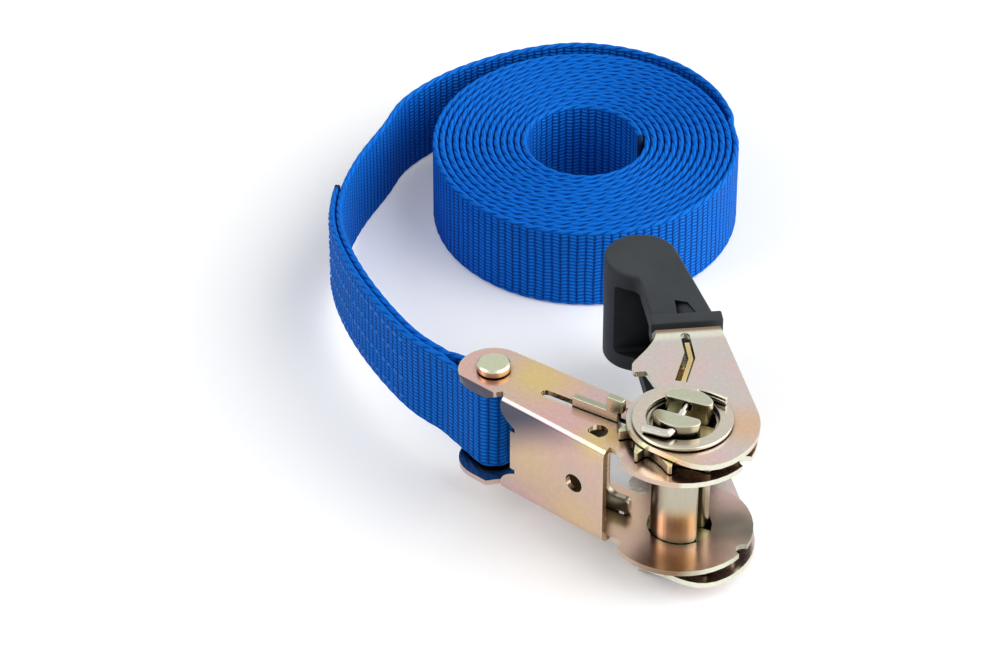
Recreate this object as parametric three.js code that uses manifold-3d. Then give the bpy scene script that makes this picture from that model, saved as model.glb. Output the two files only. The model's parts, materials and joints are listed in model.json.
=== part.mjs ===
// Endless ratchet strap: a hand ratchet of folded plate with a rubber grip, and a 25 mm webbing strap
// that is sewn round the ratchet's bolt and rolled up beside it.
// Millimetres, +Z up. The ratchet lies on its side: the spool stands along Z.
// The plan frame has the spool axis at (0, 0) and the bolt towards -X. Heights count from the mid plane.
import * as THREE from 'three';
import { mergeVertices } from 'three/addons/utils/BufferGeometryUtils.js';
import Module from 'manifold-3d';

const wasm = await Module();
wasm.setup();

const DEG = Math.PI / 180;
const WELD = 1e-5;
const ARC_STEPS = 9;
const OVERLAP = 0.2;
const CUT_OVER = 1.0;

// Clearances
const SEAT_GAP = 0.3;
const SIDE_GAP = 0.35;
const KEY_GAP = 0.15;
const RUN_GAP = 0.5;
const EAR_INSET = 0.1;

// Stack along the spool, each height from the mid plane outwards
const CHANNEL_HALF = 13.4;
const FRAME_PLATE = 1.5;
const WHEEL_THICK = 2.5;
const HANDLE_PLATE = 1.6;
const WASHER_THICK = 1.0;
const FRAME_TOP = CHANNEL_HALF + FRAME_PLATE;
const WHEEL_LOW = FRAME_TOP + SIDE_GAP;
const WHEEL_TOP = WHEEL_LOW + WHEEL_THICK;
const HANDLE_LOW = WHEEL_TOP + SIDE_GAP;
const HANDLE_TOP = HANDLE_LOW + HANDLE_PLATE;
const WASHER_LOW = HANDLE_TOP + SEAT_GAP;
const WASHER_TOP = WASHER_LOW + WASHER_THICK;

// Spool
const SPOOL_R = 8.0;
const SPOOL_SLOT = 5.6;
const SPOOL_CORNER = 1.6;
const SPOOL_REST = 17.7 * DEG;
const PIN_R = 1.1;
const PIN_GAP = 0.2;
const PIN_Z = WASHER_TOP + PIN_GAP + PIN_R;
const PIN_HOLE_R = PIN_R + PIN_GAP;
const SPOOL_END_WALL = 0.4;
const SPOOL_HALF = PIN_Z + PIN_HOLE_R + SPOOL_END_WALL;
const PIN_SIDES = 10;
const PIN_STEPS = 22;
const EYE_LENGTH = 6.9;
const LEG_BEND = 1.5;
const LEG_Y = SPOOL_R + LEG_BEND;
const LEG_LENGTH = 8.2;
const LEG_DROP = 0.7;
const WASHER_R = 12.7;
const WASHER_HOLE_R = 9.2;

// Ratchet wheels
const TEETH = 10;
const TOOTH_PHASE = 299.3 * DEG;
const TOOTH_TIP_R = 16.0;
const TOOTH_ROOT_R = 12.2;
const TOOTH_PITCH = 360 / TEETH;
// Share of the tooth's depth and degrees past its tip, once round a tooth
const TOOTH_PROFILE = [
  [1, 0],
  [0.32, -1.2],
  [0.08, -0.2],
  [0, 3.5],
  [0.16, 14],
  [0.47, 24],
  [0.79, 31],
];

// Frame: two side plates and a web, one folded piece
const BOLT_X = -53.6;
const BOLT_Y = -9.7;
const TAB_R = 9.1;
const HEAD_R = 18.8;
const HEAD_START = -108.7 * DEG;
const HEAD_TURN = 60 * DEG;
const SHOULDER_R = 15.8;
const SHOULDER_FILLET = 2.0;
const BACK_SLOPE = 5.2 * DEG;
const NOTCH_AT = 8 * DEG;
const NOTCH_R = 2.1;
const WEB_Y = -17.7;
const WEB_BEND_R = 2.5;
const WEB_X0 = -44.6;
const WEB_X1 = -10.9;
const WEB_LEG = 1.2;
const TAB_FLAT_X = -48.6;
const RELIEF_X0 = -45.8;
const RELIEF_X1 = -6.5;
const WAIST_X = -39.8;
const WAIST_HALF = 7.2;
const WAIST_END = 12.6;
const WAIST_DROP = 3.0;
const WAIST_SLANT = 2.0;
const WEB_HOLE_X = -20.3;
const WEB_HOLE_R = 2.65;
const PLATE_HOLE_X = -17.25;
const PLATE_HOLE_Y = -12.1;
const PLATE_HOLE_R = 2.55;
const LUG_HALF = 6.0;
const LUG_TIP_Y = -4.2;

// Bolt and sleeve
const BOLT_R = 3.0;
const BOLT_HEAD_R = 4.4;
const BOLT_HEAD_HIGH = 2.1;
const BOLT_HEAD_ROUND = 0.6;
const PEEN_R = 4.1;
const PEEN_HIGH = 1.6;
const SLEEVE_WALL = 0.9;
const ROUND_STEPS = 28;

// Lock pawl: slides on a line past the spool; "along" counts from the spool towards the bolt
const LOCK_TURN = 8.8 * DEG;
const LOCK_OFFSET = -2.97;
const LOCK_THICK = 2.0;
const LOCK_NOSE = 16.3;
const LOCK_BLOCK_NOSE = 15.0;
const LOCK_BLOCK_END = 19.8;
const LOCK_EAR_END = 29.8;
const LOCK_REAR = 33.0;
const LOCK_FRONT_SIDE = 12.6;
const LOCK_FRONT_MID = 19.2;
const FOOT_TALL = 4.3;
const FOOT_ROUND = 1.5;
const FOOT_FILLET = 2.8;
const LOCK_BLOCK_TOP = 21.9;
const LOCK_EAR_TOP = WHEEL_TOP - EAR_INSET;
const LOCK_TONGUE = 3.6;
const TONGUE_HALF = 1.3;
const LOCK_SLOT_START = 14.5;
const LOCK_SLOT_END = 37.9;
const LOCK_SLOT_R = LOCK_THICK / 2 + SEAT_GAP;

// Handle: "p" runs from the spool to the grip, "q" towards the frame
const HANDLE_REST = 137.0 * DEG;
const HANDLE_HOLE_R = 8.5;
const CAM_R = 19.3;
const CAM_START = 210 * DEG;
const CAM_END = 275.5 * DEG;
const CAM_EASE_IN = 6.0;
const CAM_EASE_OUT = 10.0;
const INNER_P = 1.0;
const INNER_Q = 0.3;
const INNER_R = 13.7;
const INNER_START = 17 * DEG;
const INNER_END = 140 * DEG;
const NOTCH_P = 21.2;
const NOTCH_Q = 6.3;
const LOBE_FLAT = 1.9;
const LOBE_TALL = 3.1;
const LOBE_ROUND = 0.9;
const LOBE_FALL = 4.5;
const LOBE_SLOPE = 40 * DEG;
const LOBE_EASE = 2.6;
const LOBE_P = NOTCH_P + LOBE_ROUND + LOBE_FLAT;
const LOBE_Q = NOTCH_Q + LOBE_TALL;
const LOBE_BACK_P = LOBE_P + LOBE_FALL;
const LOBE_BACK_Q = NOTCH_Q;
const HEAD_END = 37.5;
const HEAD_INNER_Q = 1.35;
const HEAD_OUTER_Q = -15.5;
const JOGGLE_END = 43.5;
const ARM_LOW = 12.6;
const ARM_TOP = ARM_LOW + HANDLE_PLATE;
const ARM_START = JOGGLE_END + SEAT_GAP;
const ARM_END = 66.0;
const ARM_INNER_Q = -0.8;
const HANDLE_WEB_Q0 = -13.4;
const HANDLE_WEB_Q1 = -10.4;
const SEAT_P0 = 44.0;
const SEAT_P1 = 45.6;
const SEAT_HALF = 4.5;
const SEAT_TIP_Q = -2.5;

// Drive pawl: a bent plate in the handle's slots
const DRIVE_THICK = 1.5;
const DRIVE_Q = -5.9;
const DRIVE_TOP_P = 32.6;
const DRIVE_BEND_P = 25.5;
const DRIVE_TILT = 19.9 * DEG;
const DRIVE_LEG = 9.8;
const DRIVE_BODY_LEG = 5.4;
const DRIVE_BODY_HALF = WHEEL_TOP;
const DRIVE_EAR_LOW = WHEEL_LOW + EAR_INSET;
const DRIVE_EAR_TOP = HANDLE_TOP - SEAT_GAP;
const DRIVE_STROKE = 2.8;
const DRIVE_TONGUE = 3.6;
const DRIVE_SLOT_END = 36.1;
const DRIVE_SLOT_GAP = 0.35;
const DRIVE_SLOT_HIGH = -4.6;
const PULL_LOW = 4.0;
const PULL_HIGH = 12.0;
const PULL_Q = 0.4;

// Rubber grip
const GRIP_HALF = 15.8;
const GRIP_P0 = 44.5;
const BULB_P = 76.52;
const BULB_Q = -0.44;
const BULB_R = 9.8;
const GRIP_SLOPE = 10.5 * DEG;
const GRIP_INNER_Q0 = 0.7;
const GRIP_INNER_Q1 = 1.5;
const GRIP_FILLET = 3.0;
const COLLAR_P1 = 48.5;
const COLLAR_Q0 = -17.4;
const COLLAR_Q1 = 1.5;
const COLLAR_HALF = 17.0;
const POCKET_HALF = 10.9;
const POCKET_P0 = 43.0;
const POCKET_P1 = 70.7;
const POCKET_Q0 = -10.6;
const POCKET_Q1 = -7.4;
const POCKET_CORNER = 2.5;

// Springs
const WIRE_R = 0.4;
const SPRING_R = 2.35;
const LOCK_CURLS = 4;
const DRIVE_CURLS = 5;
const CURL_STEPS = 10;
const WIRE_SIDES = 5;

// Strap
const STRAP_WIDE = 25.0;
const STRAP_THICK = 1.4;
const PLY_GAP = 0.5;
const STRAP_HALF = STRAP_THICK / 2;
const STRAP_LOW = -STRAP_WIDE / 2;
const FLOOR_Z = -SPOOL_HALF;
const JOIN_GAP = 0.3;
const SEWN_LENGTH = 98;
const SETTLE_START = 30;
const SETTLE_END = 120;
const LEAD_STEP = 4.0;
const EYE_TURN_STEPS = 14;
const EYE_CLOSE = 16;
const LEAD_HEADING = 178 * DEG;
const LEAD_POINTS = [
  [-80.0, -8.3],
  [-91.0, -5.2],
  [-106.0, 1.0],
  [-121.0, 10.0],
  [-136.0, 22.0],
  [-148.5, 36.5],
  [-158.0, 53.5],
  [-164.0, 71.6],
  [-168.1, 83.3],
  [-168.6, 96.1],
  [-166.4, 109.4],
  [-160.3, 125.0],
  [-150.0, 138.8],
  [-136.2, 146.8],
  [-120.4, 149.9],
  [-104.6, 146.5],
  [-91.6, 138.2],
];
const ROLL_X = -116.1;
const ROLL_Y = 102.0;
const ROLL_AXIS = 40.6 * DEG;
const ROLL_OVAL = 1.06;
const ROLL_R0 = 15.9;
const ROLL_PITCH = 1.92;
const ROLL_TURNS = 14;
const ROLL_STEPS = 28;
const ROLL_LEAD_IN = 15 * DEG;

// Finishes
const zinc = (color, roughness) => ({ color, roughness, metalness: 0.9 });
const FRAME_FINISH = zinc(0xb8a985, 0.42);
const HANDLE_FINISH = zinc(0xc6bb9c, 0.4);
const WHEEL_FINISH = zinc(0xa9a08a, 0.45);
const SPOOL_FINISH = zinc(0xb9b3a2, 0.35);
const WASHER_FINISH = zinc(0xc4bda8, 0.38);
const WIRE_FINISH = zinc(0x9d9a92, 0.4);
const RUBBER = { color: 0x2a2b2d, roughness: 0.75, metalness: 0 };
const WEBBING = { color: 0x0c56b8, roughness: 0.85, metalness: 0 };

function solid(geometry) {
  const bare = geometry.index ? geometry.clone() : geometry;
  bare.deleteAttribute('normal');
  bare.deleteAttribute('uv');
  const merged = mergeVertices(bare, WELD);
  return new wasm.Manifold(new wasm.Mesh({
    numProp: 3,
    vertProperties: new Float32Array(merged.attributes.position.array),
    triVerts: new Uint32Array(merged.index.array),
  }));
}

function geometryOf(body) {
  const mesh = body.getMesh();
  const geometry = new THREE.BufferGeometry();
  geometry.setAttribute('position', new THREE.BufferAttribute(new Float32Array(mesh.vertProperties), 3));
  geometry.setIndex(new THREE.BufferAttribute(new Uint32Array(mesh.triVerts), 1));
  geometry.computeVertexNormals();
  return geometry;
}

function piece(name, body, finish) {
  const geometry = body.isBufferGeometry ? body : geometryOf(body);
  const mesh = new THREE.Mesh(geometry, new THREE.MeshStandardMaterial(finish));
  mesh.name = name;
  return mesh;
}

const polar = (radius, angle) => [radius * Math.cos(angle), radius * Math.sin(angle)];
const shapeOf = (points) => new THREE.Shape(points.map(([x, y]) => new THREE.Vector2(x, y)));

function extruded(shape, depth) {
  return new THREE.ExtrudeGeometry(shape, { depth, bevelEnabled: false, curveSegments: ARC_STEPS });
}

// A plan outline raised from z0 to z1
function slab(shape, z0, z1) {
  return solid(extruded(shape, z1 - z0).translate(0, 0, z0));
}

// The same slab above and below the mid plane
const slabPair = (shape, z0, z1) => slab(shape, z0, z1).add(slab(shape, -z1, -z0));

// An outline in (x, z) carried along y
function sideSlab(shape, y0, y1) {
  const turn = new THREE.Matrix4().makeBasis(
    new THREE.Vector3(1, 0, 0), new THREE.Vector3(0, 0, 1), new THREE.Vector3(0, -1, 0));
  return solid(extruded(shape, y1 - y0).applyMatrix4(turn).translate(0, y1, 0));
}

// An outline in (y, z) carried along x
function endSlab(shape, x0, x1) {
  const turn = new THREE.Matrix4().makeBasis(
    new THREE.Vector3(0, 1, 0), new THREE.Vector3(0, 0, 1), new THREE.Vector3(1, 0, 0));
  return solid(extruded(shape, x1 - x0).applyMatrix4(turn).translate(x0, 0, 0));
}

function block(x0, x1, y0, y1, z0, z1) {
  const box = new THREE.BoxGeometry(x1 - x0, y1 - y0, z1 - z0);
  return solid(box.translate((x0 + x1) / 2, (y0 + y1) / 2, (z0 + z1) / 2));
}

function disc(x, y, radius) {
  const shape = new THREE.Shape();
  shape.absarc(x, y, radius, 0, 2 * Math.PI, false);
  return shape;
}

function withHole(shape, x, y, radius) {
  const hole = new THREE.Path();
  hole.absarc(x, y, radius, 0, 2 * Math.PI, true);
  shape.holes.push(hole);
  return shape;
}

const mirroredZ = (points) => points.map(([x, z]) => [x, -z]).reverse();

// A round wire along a smooth line
function wire(points, radius, sides, steps) {
  const line = new THREE.CatmullRomCurve3(points.map((p) => new THREE.Vector3(...p)));
  const section = new THREE.Shape();
  for (let i = 0; i < sides; i += 1) {
    const [x, y] = polar(radius, (2 * Math.PI * i) / sides);
    if (i === 0) section.moveTo(x, y);
    else section.lineTo(x, y);
  }
  return new THREE.ExtrudeGeometry(section, { steps, bevelEnabled: false, extrudePath: line });
}

// A compression spring along x from x0 to x1
function coil(x0, x1, curls) {
  const count = curls * CURL_STEPS;
  const lead = (x1 - x0 - 2 * WIRE_R) / count;
  const points = [];
  for (let i = 0; i <= count; i += 1) {
    const [y, z] = polar(SPRING_R, (2 * Math.PI * i) / CURL_STEPS);
    points.push([x0 + WIRE_R + lead * i, y, z]);
  }
  console.log('spring: least gap to itself', (lead * CURL_STEPS - 2 * WIRE_R).toFixed(2), 'mm');
  return wire(points, WIRE_R, WIRE_SIDES, count);
}

// Frame

function framePlate() {
  const slope = [Math.cos(BACK_SLOPE), Math.sin(BACK_SLOPE)];
  const rise = [-slope[1], slope[0]];
  const tabTop = [BOLT_X + TAB_R * rise[0], BOLT_Y + TAB_R * rise[1]];
  const [shoulderX, shoulderY] = polar(HEAD_R - SHOULDER_R, HEAD_TURN);
  const backRise = (tabTop[0] - shoulderX) * rise[0] + (tabTop[1] - shoulderY) * rise[1];
  const up = backRise + SHOULDER_FILLET;
  const reach = SHOULDER_R + SHOULDER_FILLET;
  const back = Math.sqrt(reach * reach - up * up);
  const filletX = shoulderX + up * rise[0] - back * slope[0];
  const filletY = shoulderY + up * rise[1] - back * slope[1];
  const shoulderEnd = Math.atan2(filletY - shoulderY, filletX - shoulderX);
  const bendY = WEB_Y + WEB_BEND_R;
  const shape = new THREE.Shape();
  shape.absarc(0, 0, HEAD_R, HEAD_START, HEAD_TURN, false);
  shape.absarc(shoulderX, shoulderY, SHOULDER_R, HEAD_TURN, shoulderEnd, false);
  shape.absarc(filletX, filletY, SHOULDER_FILLET, shoulderEnd - Math.PI, BACK_SLOPE - Math.PI / 2, true);
  shape.absarc(BOLT_X, BOLT_Y, TAB_R, BACK_SLOPE + Math.PI / 2, 1.5 * Math.PI, false);
  shape.lineTo(TAB_FLAT_X, BOLT_Y - TAB_R);
  shape.lineTo(RELIEF_X0, bendY);
  shape.lineTo(RELIEF_X1, bendY);
  shape.closePath();
  withHole(shape, 0, 0, SPOOL_R + SIDE_GAP);
  withHole(shape, PLATE_HOLE_X, PLATE_HOLE_Y, PLATE_HOLE_R);
  withHole(shape, BOLT_X, BOLT_Y, BOLT_R + SEAT_GAP);
  return shape;
}

// A point of the lock pawl's line in plan
function lockPoint(along, aside = 0) {
  const across = LOCK_OFFSET + aside;
  return [
    -along * Math.cos(LOCK_TURN) - across * Math.sin(LOCK_TURN),
    -along * Math.sin(LOCK_TURN) + across * Math.cos(LOCK_TURN),
  ];
}

function lockSlot() {
  const shape = new THREE.Shape();
  const quarter = Math.PI / 2;
  const [startX, startY] = lockPoint(LOCK_SLOT_START);
  const [endX, endY] = lockPoint(LOCK_SLOT_END);
  shape.absarc(startX, startY, LOCK_SLOT_R, LOCK_TURN - quarter, LOCK_TURN + quarter, false);
  shape.absarc(endX, endY, LOCK_SLOT_R, LOCK_TURN + quarter, LOCK_TURN + 3 * quarter, false);
  return shape;
}

function channelSection() {
  const bendY = WEB_Y + WEB_BEND_R;
  const bendZ = FRAME_TOP - WEB_BEND_R;
  const innerR = WEB_BEND_R - FRAME_PLATE;
  const legY = bendY + WEB_LEG;
  const half = Math.PI;
  const shape = new THREE.Shape();
  shape.absarc(bendY, bendZ, WEB_BEND_R, half / 2, half, false);
  shape.absarc(bendY, -bendZ, WEB_BEND_R, half, 1.5 * half, false);
  shape.lineTo(legY, -FRAME_TOP);
  shape.lineTo(legY, -CHANNEL_HALF);
  shape.absarc(bendY, -bendZ, innerR, 1.5 * half, half, true);
  shape.absarc(bendY, bendZ, innerR, half, half / 2, true);
  shape.lineTo(legY, CHANNEL_HALF);
  shape.lineTo(legY, FRAME_TOP);
  shape.closePath();
  return shape;
}

function waistCut() {
  const outside = WEB_X0 - CUT_OVER;
  const dropZ = WAIST_END - WAIST_DROP;
  const slantX = WAIST_X - WAIST_SLANT;
  const slantZ = WAIST_HALF + WAIST_SLANT / 2;
  const shape = new THREE.Shape();
  shape.moveTo(outside, WAIST_END);
  shape.lineTo(outside, -WAIST_END);
  shape.lineTo(WEB_X0, -WAIST_END);
  shape.bezierCurveTo(WEB_X0, -dropZ, slantX, -slantZ, WAIST_X, -WAIST_HALF);
  shape.lineTo(WAIST_X, WAIST_HALF);
  shape.bezierCurveTo(slantX, slantZ, WEB_X0, dropZ, WEB_X0, WAIST_END);
  shape.closePath();
  return shape;
}

function frameBody() {
  const notch = disc(...polar(HEAD_R, NOTCH_AT), NOTCH_R);
  const through = FRAME_TOP + CUT_OVER;
  const webInner = WEB_Y + FRAME_PLATE;
  const lug = block(WAIST_X - FRAME_PLATE, WAIST_X + OVERLAP, WEB_Y, LUG_TIP_Y, -LUG_HALF, LUG_HALF);
  return slabPair(framePlate(), CHANNEL_HALF, FRAME_TOP)
    .add(endSlab(channelSection(), WEB_X0, WEB_X1))
    .subtract(sideSlab(waistCut(), WEB_Y - CUT_OVER, WEB_Y + WEB_BEND_R))
    .subtract(sideSlab(disc(WEB_HOLE_X, 0, WEB_HOLE_R), WEB_Y - CUT_OVER, webInner + CUT_OVER))
    .subtract(slab(notch, -through, through))
    .subtract(slab(lockSlot(), -through, through))
    .add(lug);
}

function boltBody() {
  const headTop = FRAME_TOP + SEAT_GAP + BOLT_HEAD_HIGH;
  const peenLow = -FRAME_TOP - SEAT_GAP - PEEN_HIGH;
  const profile = [
    [0, peenLow],
    [PEEN_R - BOLT_HEAD_ROUND, peenLow],
    [PEEN_R, peenLow + BOLT_HEAD_ROUND],
    [PEEN_R, -FRAME_TOP - SEAT_GAP],
    [BOLT_R, -FRAME_TOP - SEAT_GAP],
    [BOLT_R, FRAME_TOP + SEAT_GAP],
    [BOLT_HEAD_R, FRAME_TOP + SEAT_GAP],
    [BOLT_HEAD_R, headTop - BOLT_HEAD_ROUND],
    [BOLT_HEAD_R - BOLT_HEAD_ROUND, headTop],
    [0, headTop],
  ];
  return turned(profile);
}

// A closed profile of (radius, height) turned about Z
function turned(profile) {
  const lathe = new THREE.LatheGeometry(profile.map(([r, z]) => new THREE.Vector2(r, z)), ROUND_STEPS);
  return solid(lathe.rotateX(Math.PI / 2));
}

function sleeveBody() {
  const inner = BOLT_R + SEAT_GAP;
  const half = CHANNEL_HALF - SEAT_GAP;
  return slab(withHole(disc(0, 0, inner + SLEEVE_WALL), 0, 0, inner), -half, half);
}

// Lock pawl, drawn in (along, height) and carried across its thickness

function lockProfile() {
  const inside = CHANNEL_HALF - SEAT_GAP;
  const upper = [
    [LOCK_REAR, inside],
    [LOCK_EAR_END, inside],
    [LOCK_EAR_END, LOCK_EAR_TOP],
    [LOCK_BLOCK_END, LOCK_EAR_TOP],
    [LOCK_BLOCK_END, LOCK_BLOCK_TOP],
    [LOCK_BLOCK_NOSE, LOCK_BLOCK_TOP],
    [LOCK_BLOCK_NOSE, HANDLE_LOW],
    [LOCK_NOSE, HANDLE_LOW],
    [LOCK_NOSE, inside],
  ];
  const shape = new THREE.Shape();
  const tongueEnd = LOCK_REAR + LOCK_TONGUE;
  shape.moveTo(tongueEnd, -TONGUE_HALF);
  shape.lineTo(tongueEnd, TONGUE_HALF);
  shape.lineTo(LOCK_REAR, TONGUE_HALF);
  upper.forEach(([along, z]) => shape.lineTo(along, z));
  const quarter = Math.PI / 2;
  const toe = LOCK_FRONT_SIDE + FOOT_ROUND;
  const instep = LOCK_FRONT_MID - FOOT_FILLET;
  const footZ = inside - FOOT_TALL;
  shape.absarc(toe, inside - FOOT_ROUND, FOOT_ROUND, quarter, 2 * quarter, false);
  shape.absarc(toe, footZ + FOOT_ROUND, FOOT_ROUND, 2 * quarter, 3 * quarter, false);
  shape.absarc(instep, footZ - FOOT_FILLET, FOOT_FILLET, quarter, 0, true);
  shape.absarc(instep, FOOT_FILLET - footZ, FOOT_FILLET, 0, -quarter, true);
  shape.absarc(toe, -footZ - FOOT_ROUND, FOOT_ROUND, quarter, 2 * quarter, false);
  shape.absarc(toe, FOOT_ROUND - inside, FOOT_ROUND, 2 * quarter, 3 * quarter, false);
  mirroredZ(upper).forEach(([along, z]) => shape.lineTo(along, z));
  shape.lineTo(LOCK_REAR, -TONGUE_HALF);
  shape.closePath();
  return shape;
}

// Handle

function handleHead() {
  const shape = new THREE.Shape();
  const [easeP, easeQ] = polar(LOBE_EASE, LOBE_SLOPE);
  const quarter = Math.PI / 2;
  shape.moveTo(HEAD_END, HEAD_INNER_Q);
  shape.bezierCurveTo(
    HEAD_END - LOBE_EASE, HEAD_INNER_Q, LOBE_BACK_P + easeP, LOBE_BACK_Q - easeQ, LOBE_BACK_P, LOBE_BACK_Q);
  shape.bezierCurveTo(LOBE_BACK_P - easeP, LOBE_BACK_Q + easeQ, LOBE_P + LOBE_ROUND, LOBE_Q, LOBE_P, LOBE_Q);
  shape.absarc(NOTCH_P + LOBE_ROUND, LOBE_Q - LOBE_ROUND, LOBE_ROUND, quarter, 2 * quarter, false);
  shape.lineTo(NOTCH_P, NOTCH_Q);
  shape.absarc(INNER_P, INNER_Q, INNER_R, INNER_START, INNER_END, false);
  const [innerP, innerQ] = polar(INNER_R, INNER_END);
  const [inP, inQ] = polar(CAM_EASE_IN, INNER_END + quarter);
  const [camP, camQ] = polar(CAM_R, CAM_START);
  const [outP, outQ] = polar(CAM_EASE_OUT, CAM_START + quarter);
  shape.bezierCurveTo(INNER_P + innerP + inP, INNER_Q + innerQ + inQ, camP - outP, camQ - outQ, camP, camQ);
  shape.absarc(0, 0, CAM_R, CAM_START, CAM_END, false);
  shape.lineTo(HEAD_END, HEAD_OUTER_Q);
  shape.closePath();
  withHole(shape, 0, 0, HANDLE_HOLE_R);
  shape.holes.push(driveSlot());
  return shape;
}

// The drive pawl's middle line: nose, bend and top
const DRIVE_LEG_WAY = [Math.cos(DRIVE_TILT), -Math.sin(DRIVE_TILT)];
const DRIVE_LEG_SIDE = [Math.sin(DRIVE_TILT), Math.cos(DRIVE_TILT)];

function legPoint(fromBend, aside) {
  return [
    DRIVE_BEND_P - fromBend * DRIVE_LEG_WAY[0] + aside * DRIVE_LEG_SIDE[0],
    DRIVE_Q - fromBend * DRIVE_LEG_WAY[1] + aside * DRIVE_LEG_SIDE[1],
  ];
}

function driveSlot() {
  const low = DRIVE_Q - DRIVE_THICK / 2 - DRIVE_SLOT_GAP;
  const lowSide = -DRIVE_THICK / 2 - DRIVE_SLOT_GAP;
  const highSide = -lowSide + DRIVE_STROKE * DRIVE_LEG_SIDE[0];
  const end = DRIVE_LEG + DRIVE_SLOT_GAP;
  const meet = (q, aside) => (q - DRIVE_Q - aside * DRIVE_LEG_SIDE[1]) / -DRIVE_LEG_WAY[1];
  const round = (DRIVE_SLOT_HIGH - low) / 2;
  const topP = DRIVE_SLOT_END - round;
  const slot = new THREE.Path();
  slot.moveTo(...legPoint(end, lowSide));
  slot.lineTo(...legPoint(end, highSide));
  slot.lineTo(...legPoint(meet(DRIVE_SLOT_HIGH, highSide), highSide));
  slot.absarc(topP, low + round, round, Math.PI / 2, -Math.PI / 2, true);
  slot.lineTo(...legPoint(meet(low, lowSide), lowSide));
  slot.closePath();
  return slot;
}

function joggle() {
  const run = JOGGLE_END - HEAD_END;
  const shift = HANDLE_PLATE / 3;
  return [
    [HEAD_END - OVERLAP, HANDLE_LOW],
    [HEAD_END, HANDLE_LOW],
    [HEAD_END + run, ARM_LOW],
    [GRIP_P0 - SEAT_GAP, ARM_LOW],
    [GRIP_P0 - SEAT_GAP, ARM_TOP],
    [HEAD_END + run + shift, ARM_TOP],
    [HEAD_END + shift, HANDLE_TOP],
    [HEAD_END - OVERLAP, HANDLE_TOP],
  ];
}

function armOutline(gap) {
  const q0 = HANDLE_WEB_Q0 - gap;
  const q1 = HANDLE_WEB_Q1 - gap;
  return shapeOf([
    [ARM_START - 2 * gap, q0],
    [ARM_END + gap, q1],
    [ARM_END + gap, ARM_INNER_Q + gap],
    [ARM_START - 2 * gap, ARM_INNER_Q + gap],
  ]);
}

function webOutline(gap) {
  const inner = HANDLE_PLATE + gap;
  return shapeOf([
    [ARM_START - 2 * gap, HANDLE_WEB_Q0 - gap],
    [ARM_END + gap, HANDLE_WEB_Q1 - gap],
    [ARM_END + gap, HANDLE_WEB_Q1 + inner],
    [ARM_START - 2 * gap, HANDLE_WEB_Q0 + inner],
  ]);
}

function handleBody() {
  const neck = joggle();
  const seatRoot = HANDLE_WEB_Q0 + OVERLAP;
  return slabPair(handleHead(), HANDLE_LOW, HANDLE_TOP)
    .add(sideSlab(shapeOf(neck), HEAD_OUTER_Q, HEAD_INNER_Q))
    .add(sideSlab(shapeOf(mirroredZ(neck)), HEAD_OUTER_Q, HEAD_INNER_Q))
    .add(slabPair(armOutline(0), ARM_LOW, ARM_TOP))
    .add(slab(webOutline(0), -ARM_TOP, ARM_TOP))
    .add(block(SEAT_P0, SEAT_P1, seatRoot, SEAT_TIP_Q, -SEAT_HALF, SEAT_HALF));
}

// Rubber grip

function gripOutline() {
  const out = [Math.sin(GRIP_SLOPE), -Math.cos(GRIP_SLOPE)];
  const tangentP = BULB_P + BULB_R * out[0];
  const tangentQ = BULB_Q + BULB_R * out[1];
  const frontQ = tangentQ - (tangentP - GRIP_P0) * Math.tan(GRIP_SLOPE);
  const filletQ = GRIP_INNER_Q1 + GRIP_FILLET;
  const reach = BULB_R + GRIP_FILLET;
  const filletP = BULB_P - Math.sqrt(reach * reach - (filletQ - BULB_Q) ** 2);
  const bulbEnd = Math.atan2(filletQ - BULB_Q, filletP - BULB_P);
  const shape = new THREE.Shape();
  shape.absarc(BULB_P, BULB_Q, BULB_R, GRIP_SLOPE - Math.PI / 2, bulbEnd, false);
  shape.absarc(filletP, filletQ, GRIP_FILLET, bulbEnd - Math.PI, -Math.PI / 2, true);
  shape.lineTo(GRIP_P0, GRIP_INNER_Q0);
  shape.lineTo(GRIP_P0, frontQ);
  shape.closePath();
  return shape;
}

function gripBody() {
  const open = BULB_R;
  const pocket = shapeOf([
    [POCKET_P0, POCKET_Q0],
    [POCKET_P1 - POCKET_CORNER, POCKET_Q1],
    [POCKET_P1, POCKET_Q1 + POCKET_CORNER],
    [POCKET_P1, open],
    [POCKET_P0, open],
  ]);
  const gap = SEAT_GAP;
  const seat = block(GRIP_P0 - CUT_OVER, SEAT_P1 + gap, HANDLE_WEB_Q0 - gap, open, -SEAT_HALF - gap, SEAT_HALF + gap);
  return slab(gripOutline(), -GRIP_HALF, GRIP_HALF)
    .add(block(GRIP_P0, COLLAR_P1, COLLAR_Q0, COLLAR_Q1, -COLLAR_HALF, COLLAR_HALF))
    .subtract(slab(pocket, -POCKET_HALF, POCKET_HALF))
    .subtract(slabPair(armOutline(gap), ARM_LOW - gap, ARM_TOP + gap))
    .subtract(slab(webOutline(gap), -ARM_TOP - gap, ARM_TOP + gap))
    .subtract(seat);
}

// Drive pawl

function drivePlate(leg) {
  const half = DRIVE_THICK / 2;
  const miter = half * Math.tan(DRIVE_TILT / 2);
  return shapeOf([
    legPoint(leg, half),
    legPoint(leg, -half),
    [DRIVE_BEND_P - miter, DRIVE_Q - half],
    [DRIVE_TOP_P, DRIVE_Q - half],
    [DRIVE_TOP_P, DRIVE_Q + half],
    [DRIVE_BEND_P + miter, DRIVE_Q + half],
  ]);
}

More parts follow.
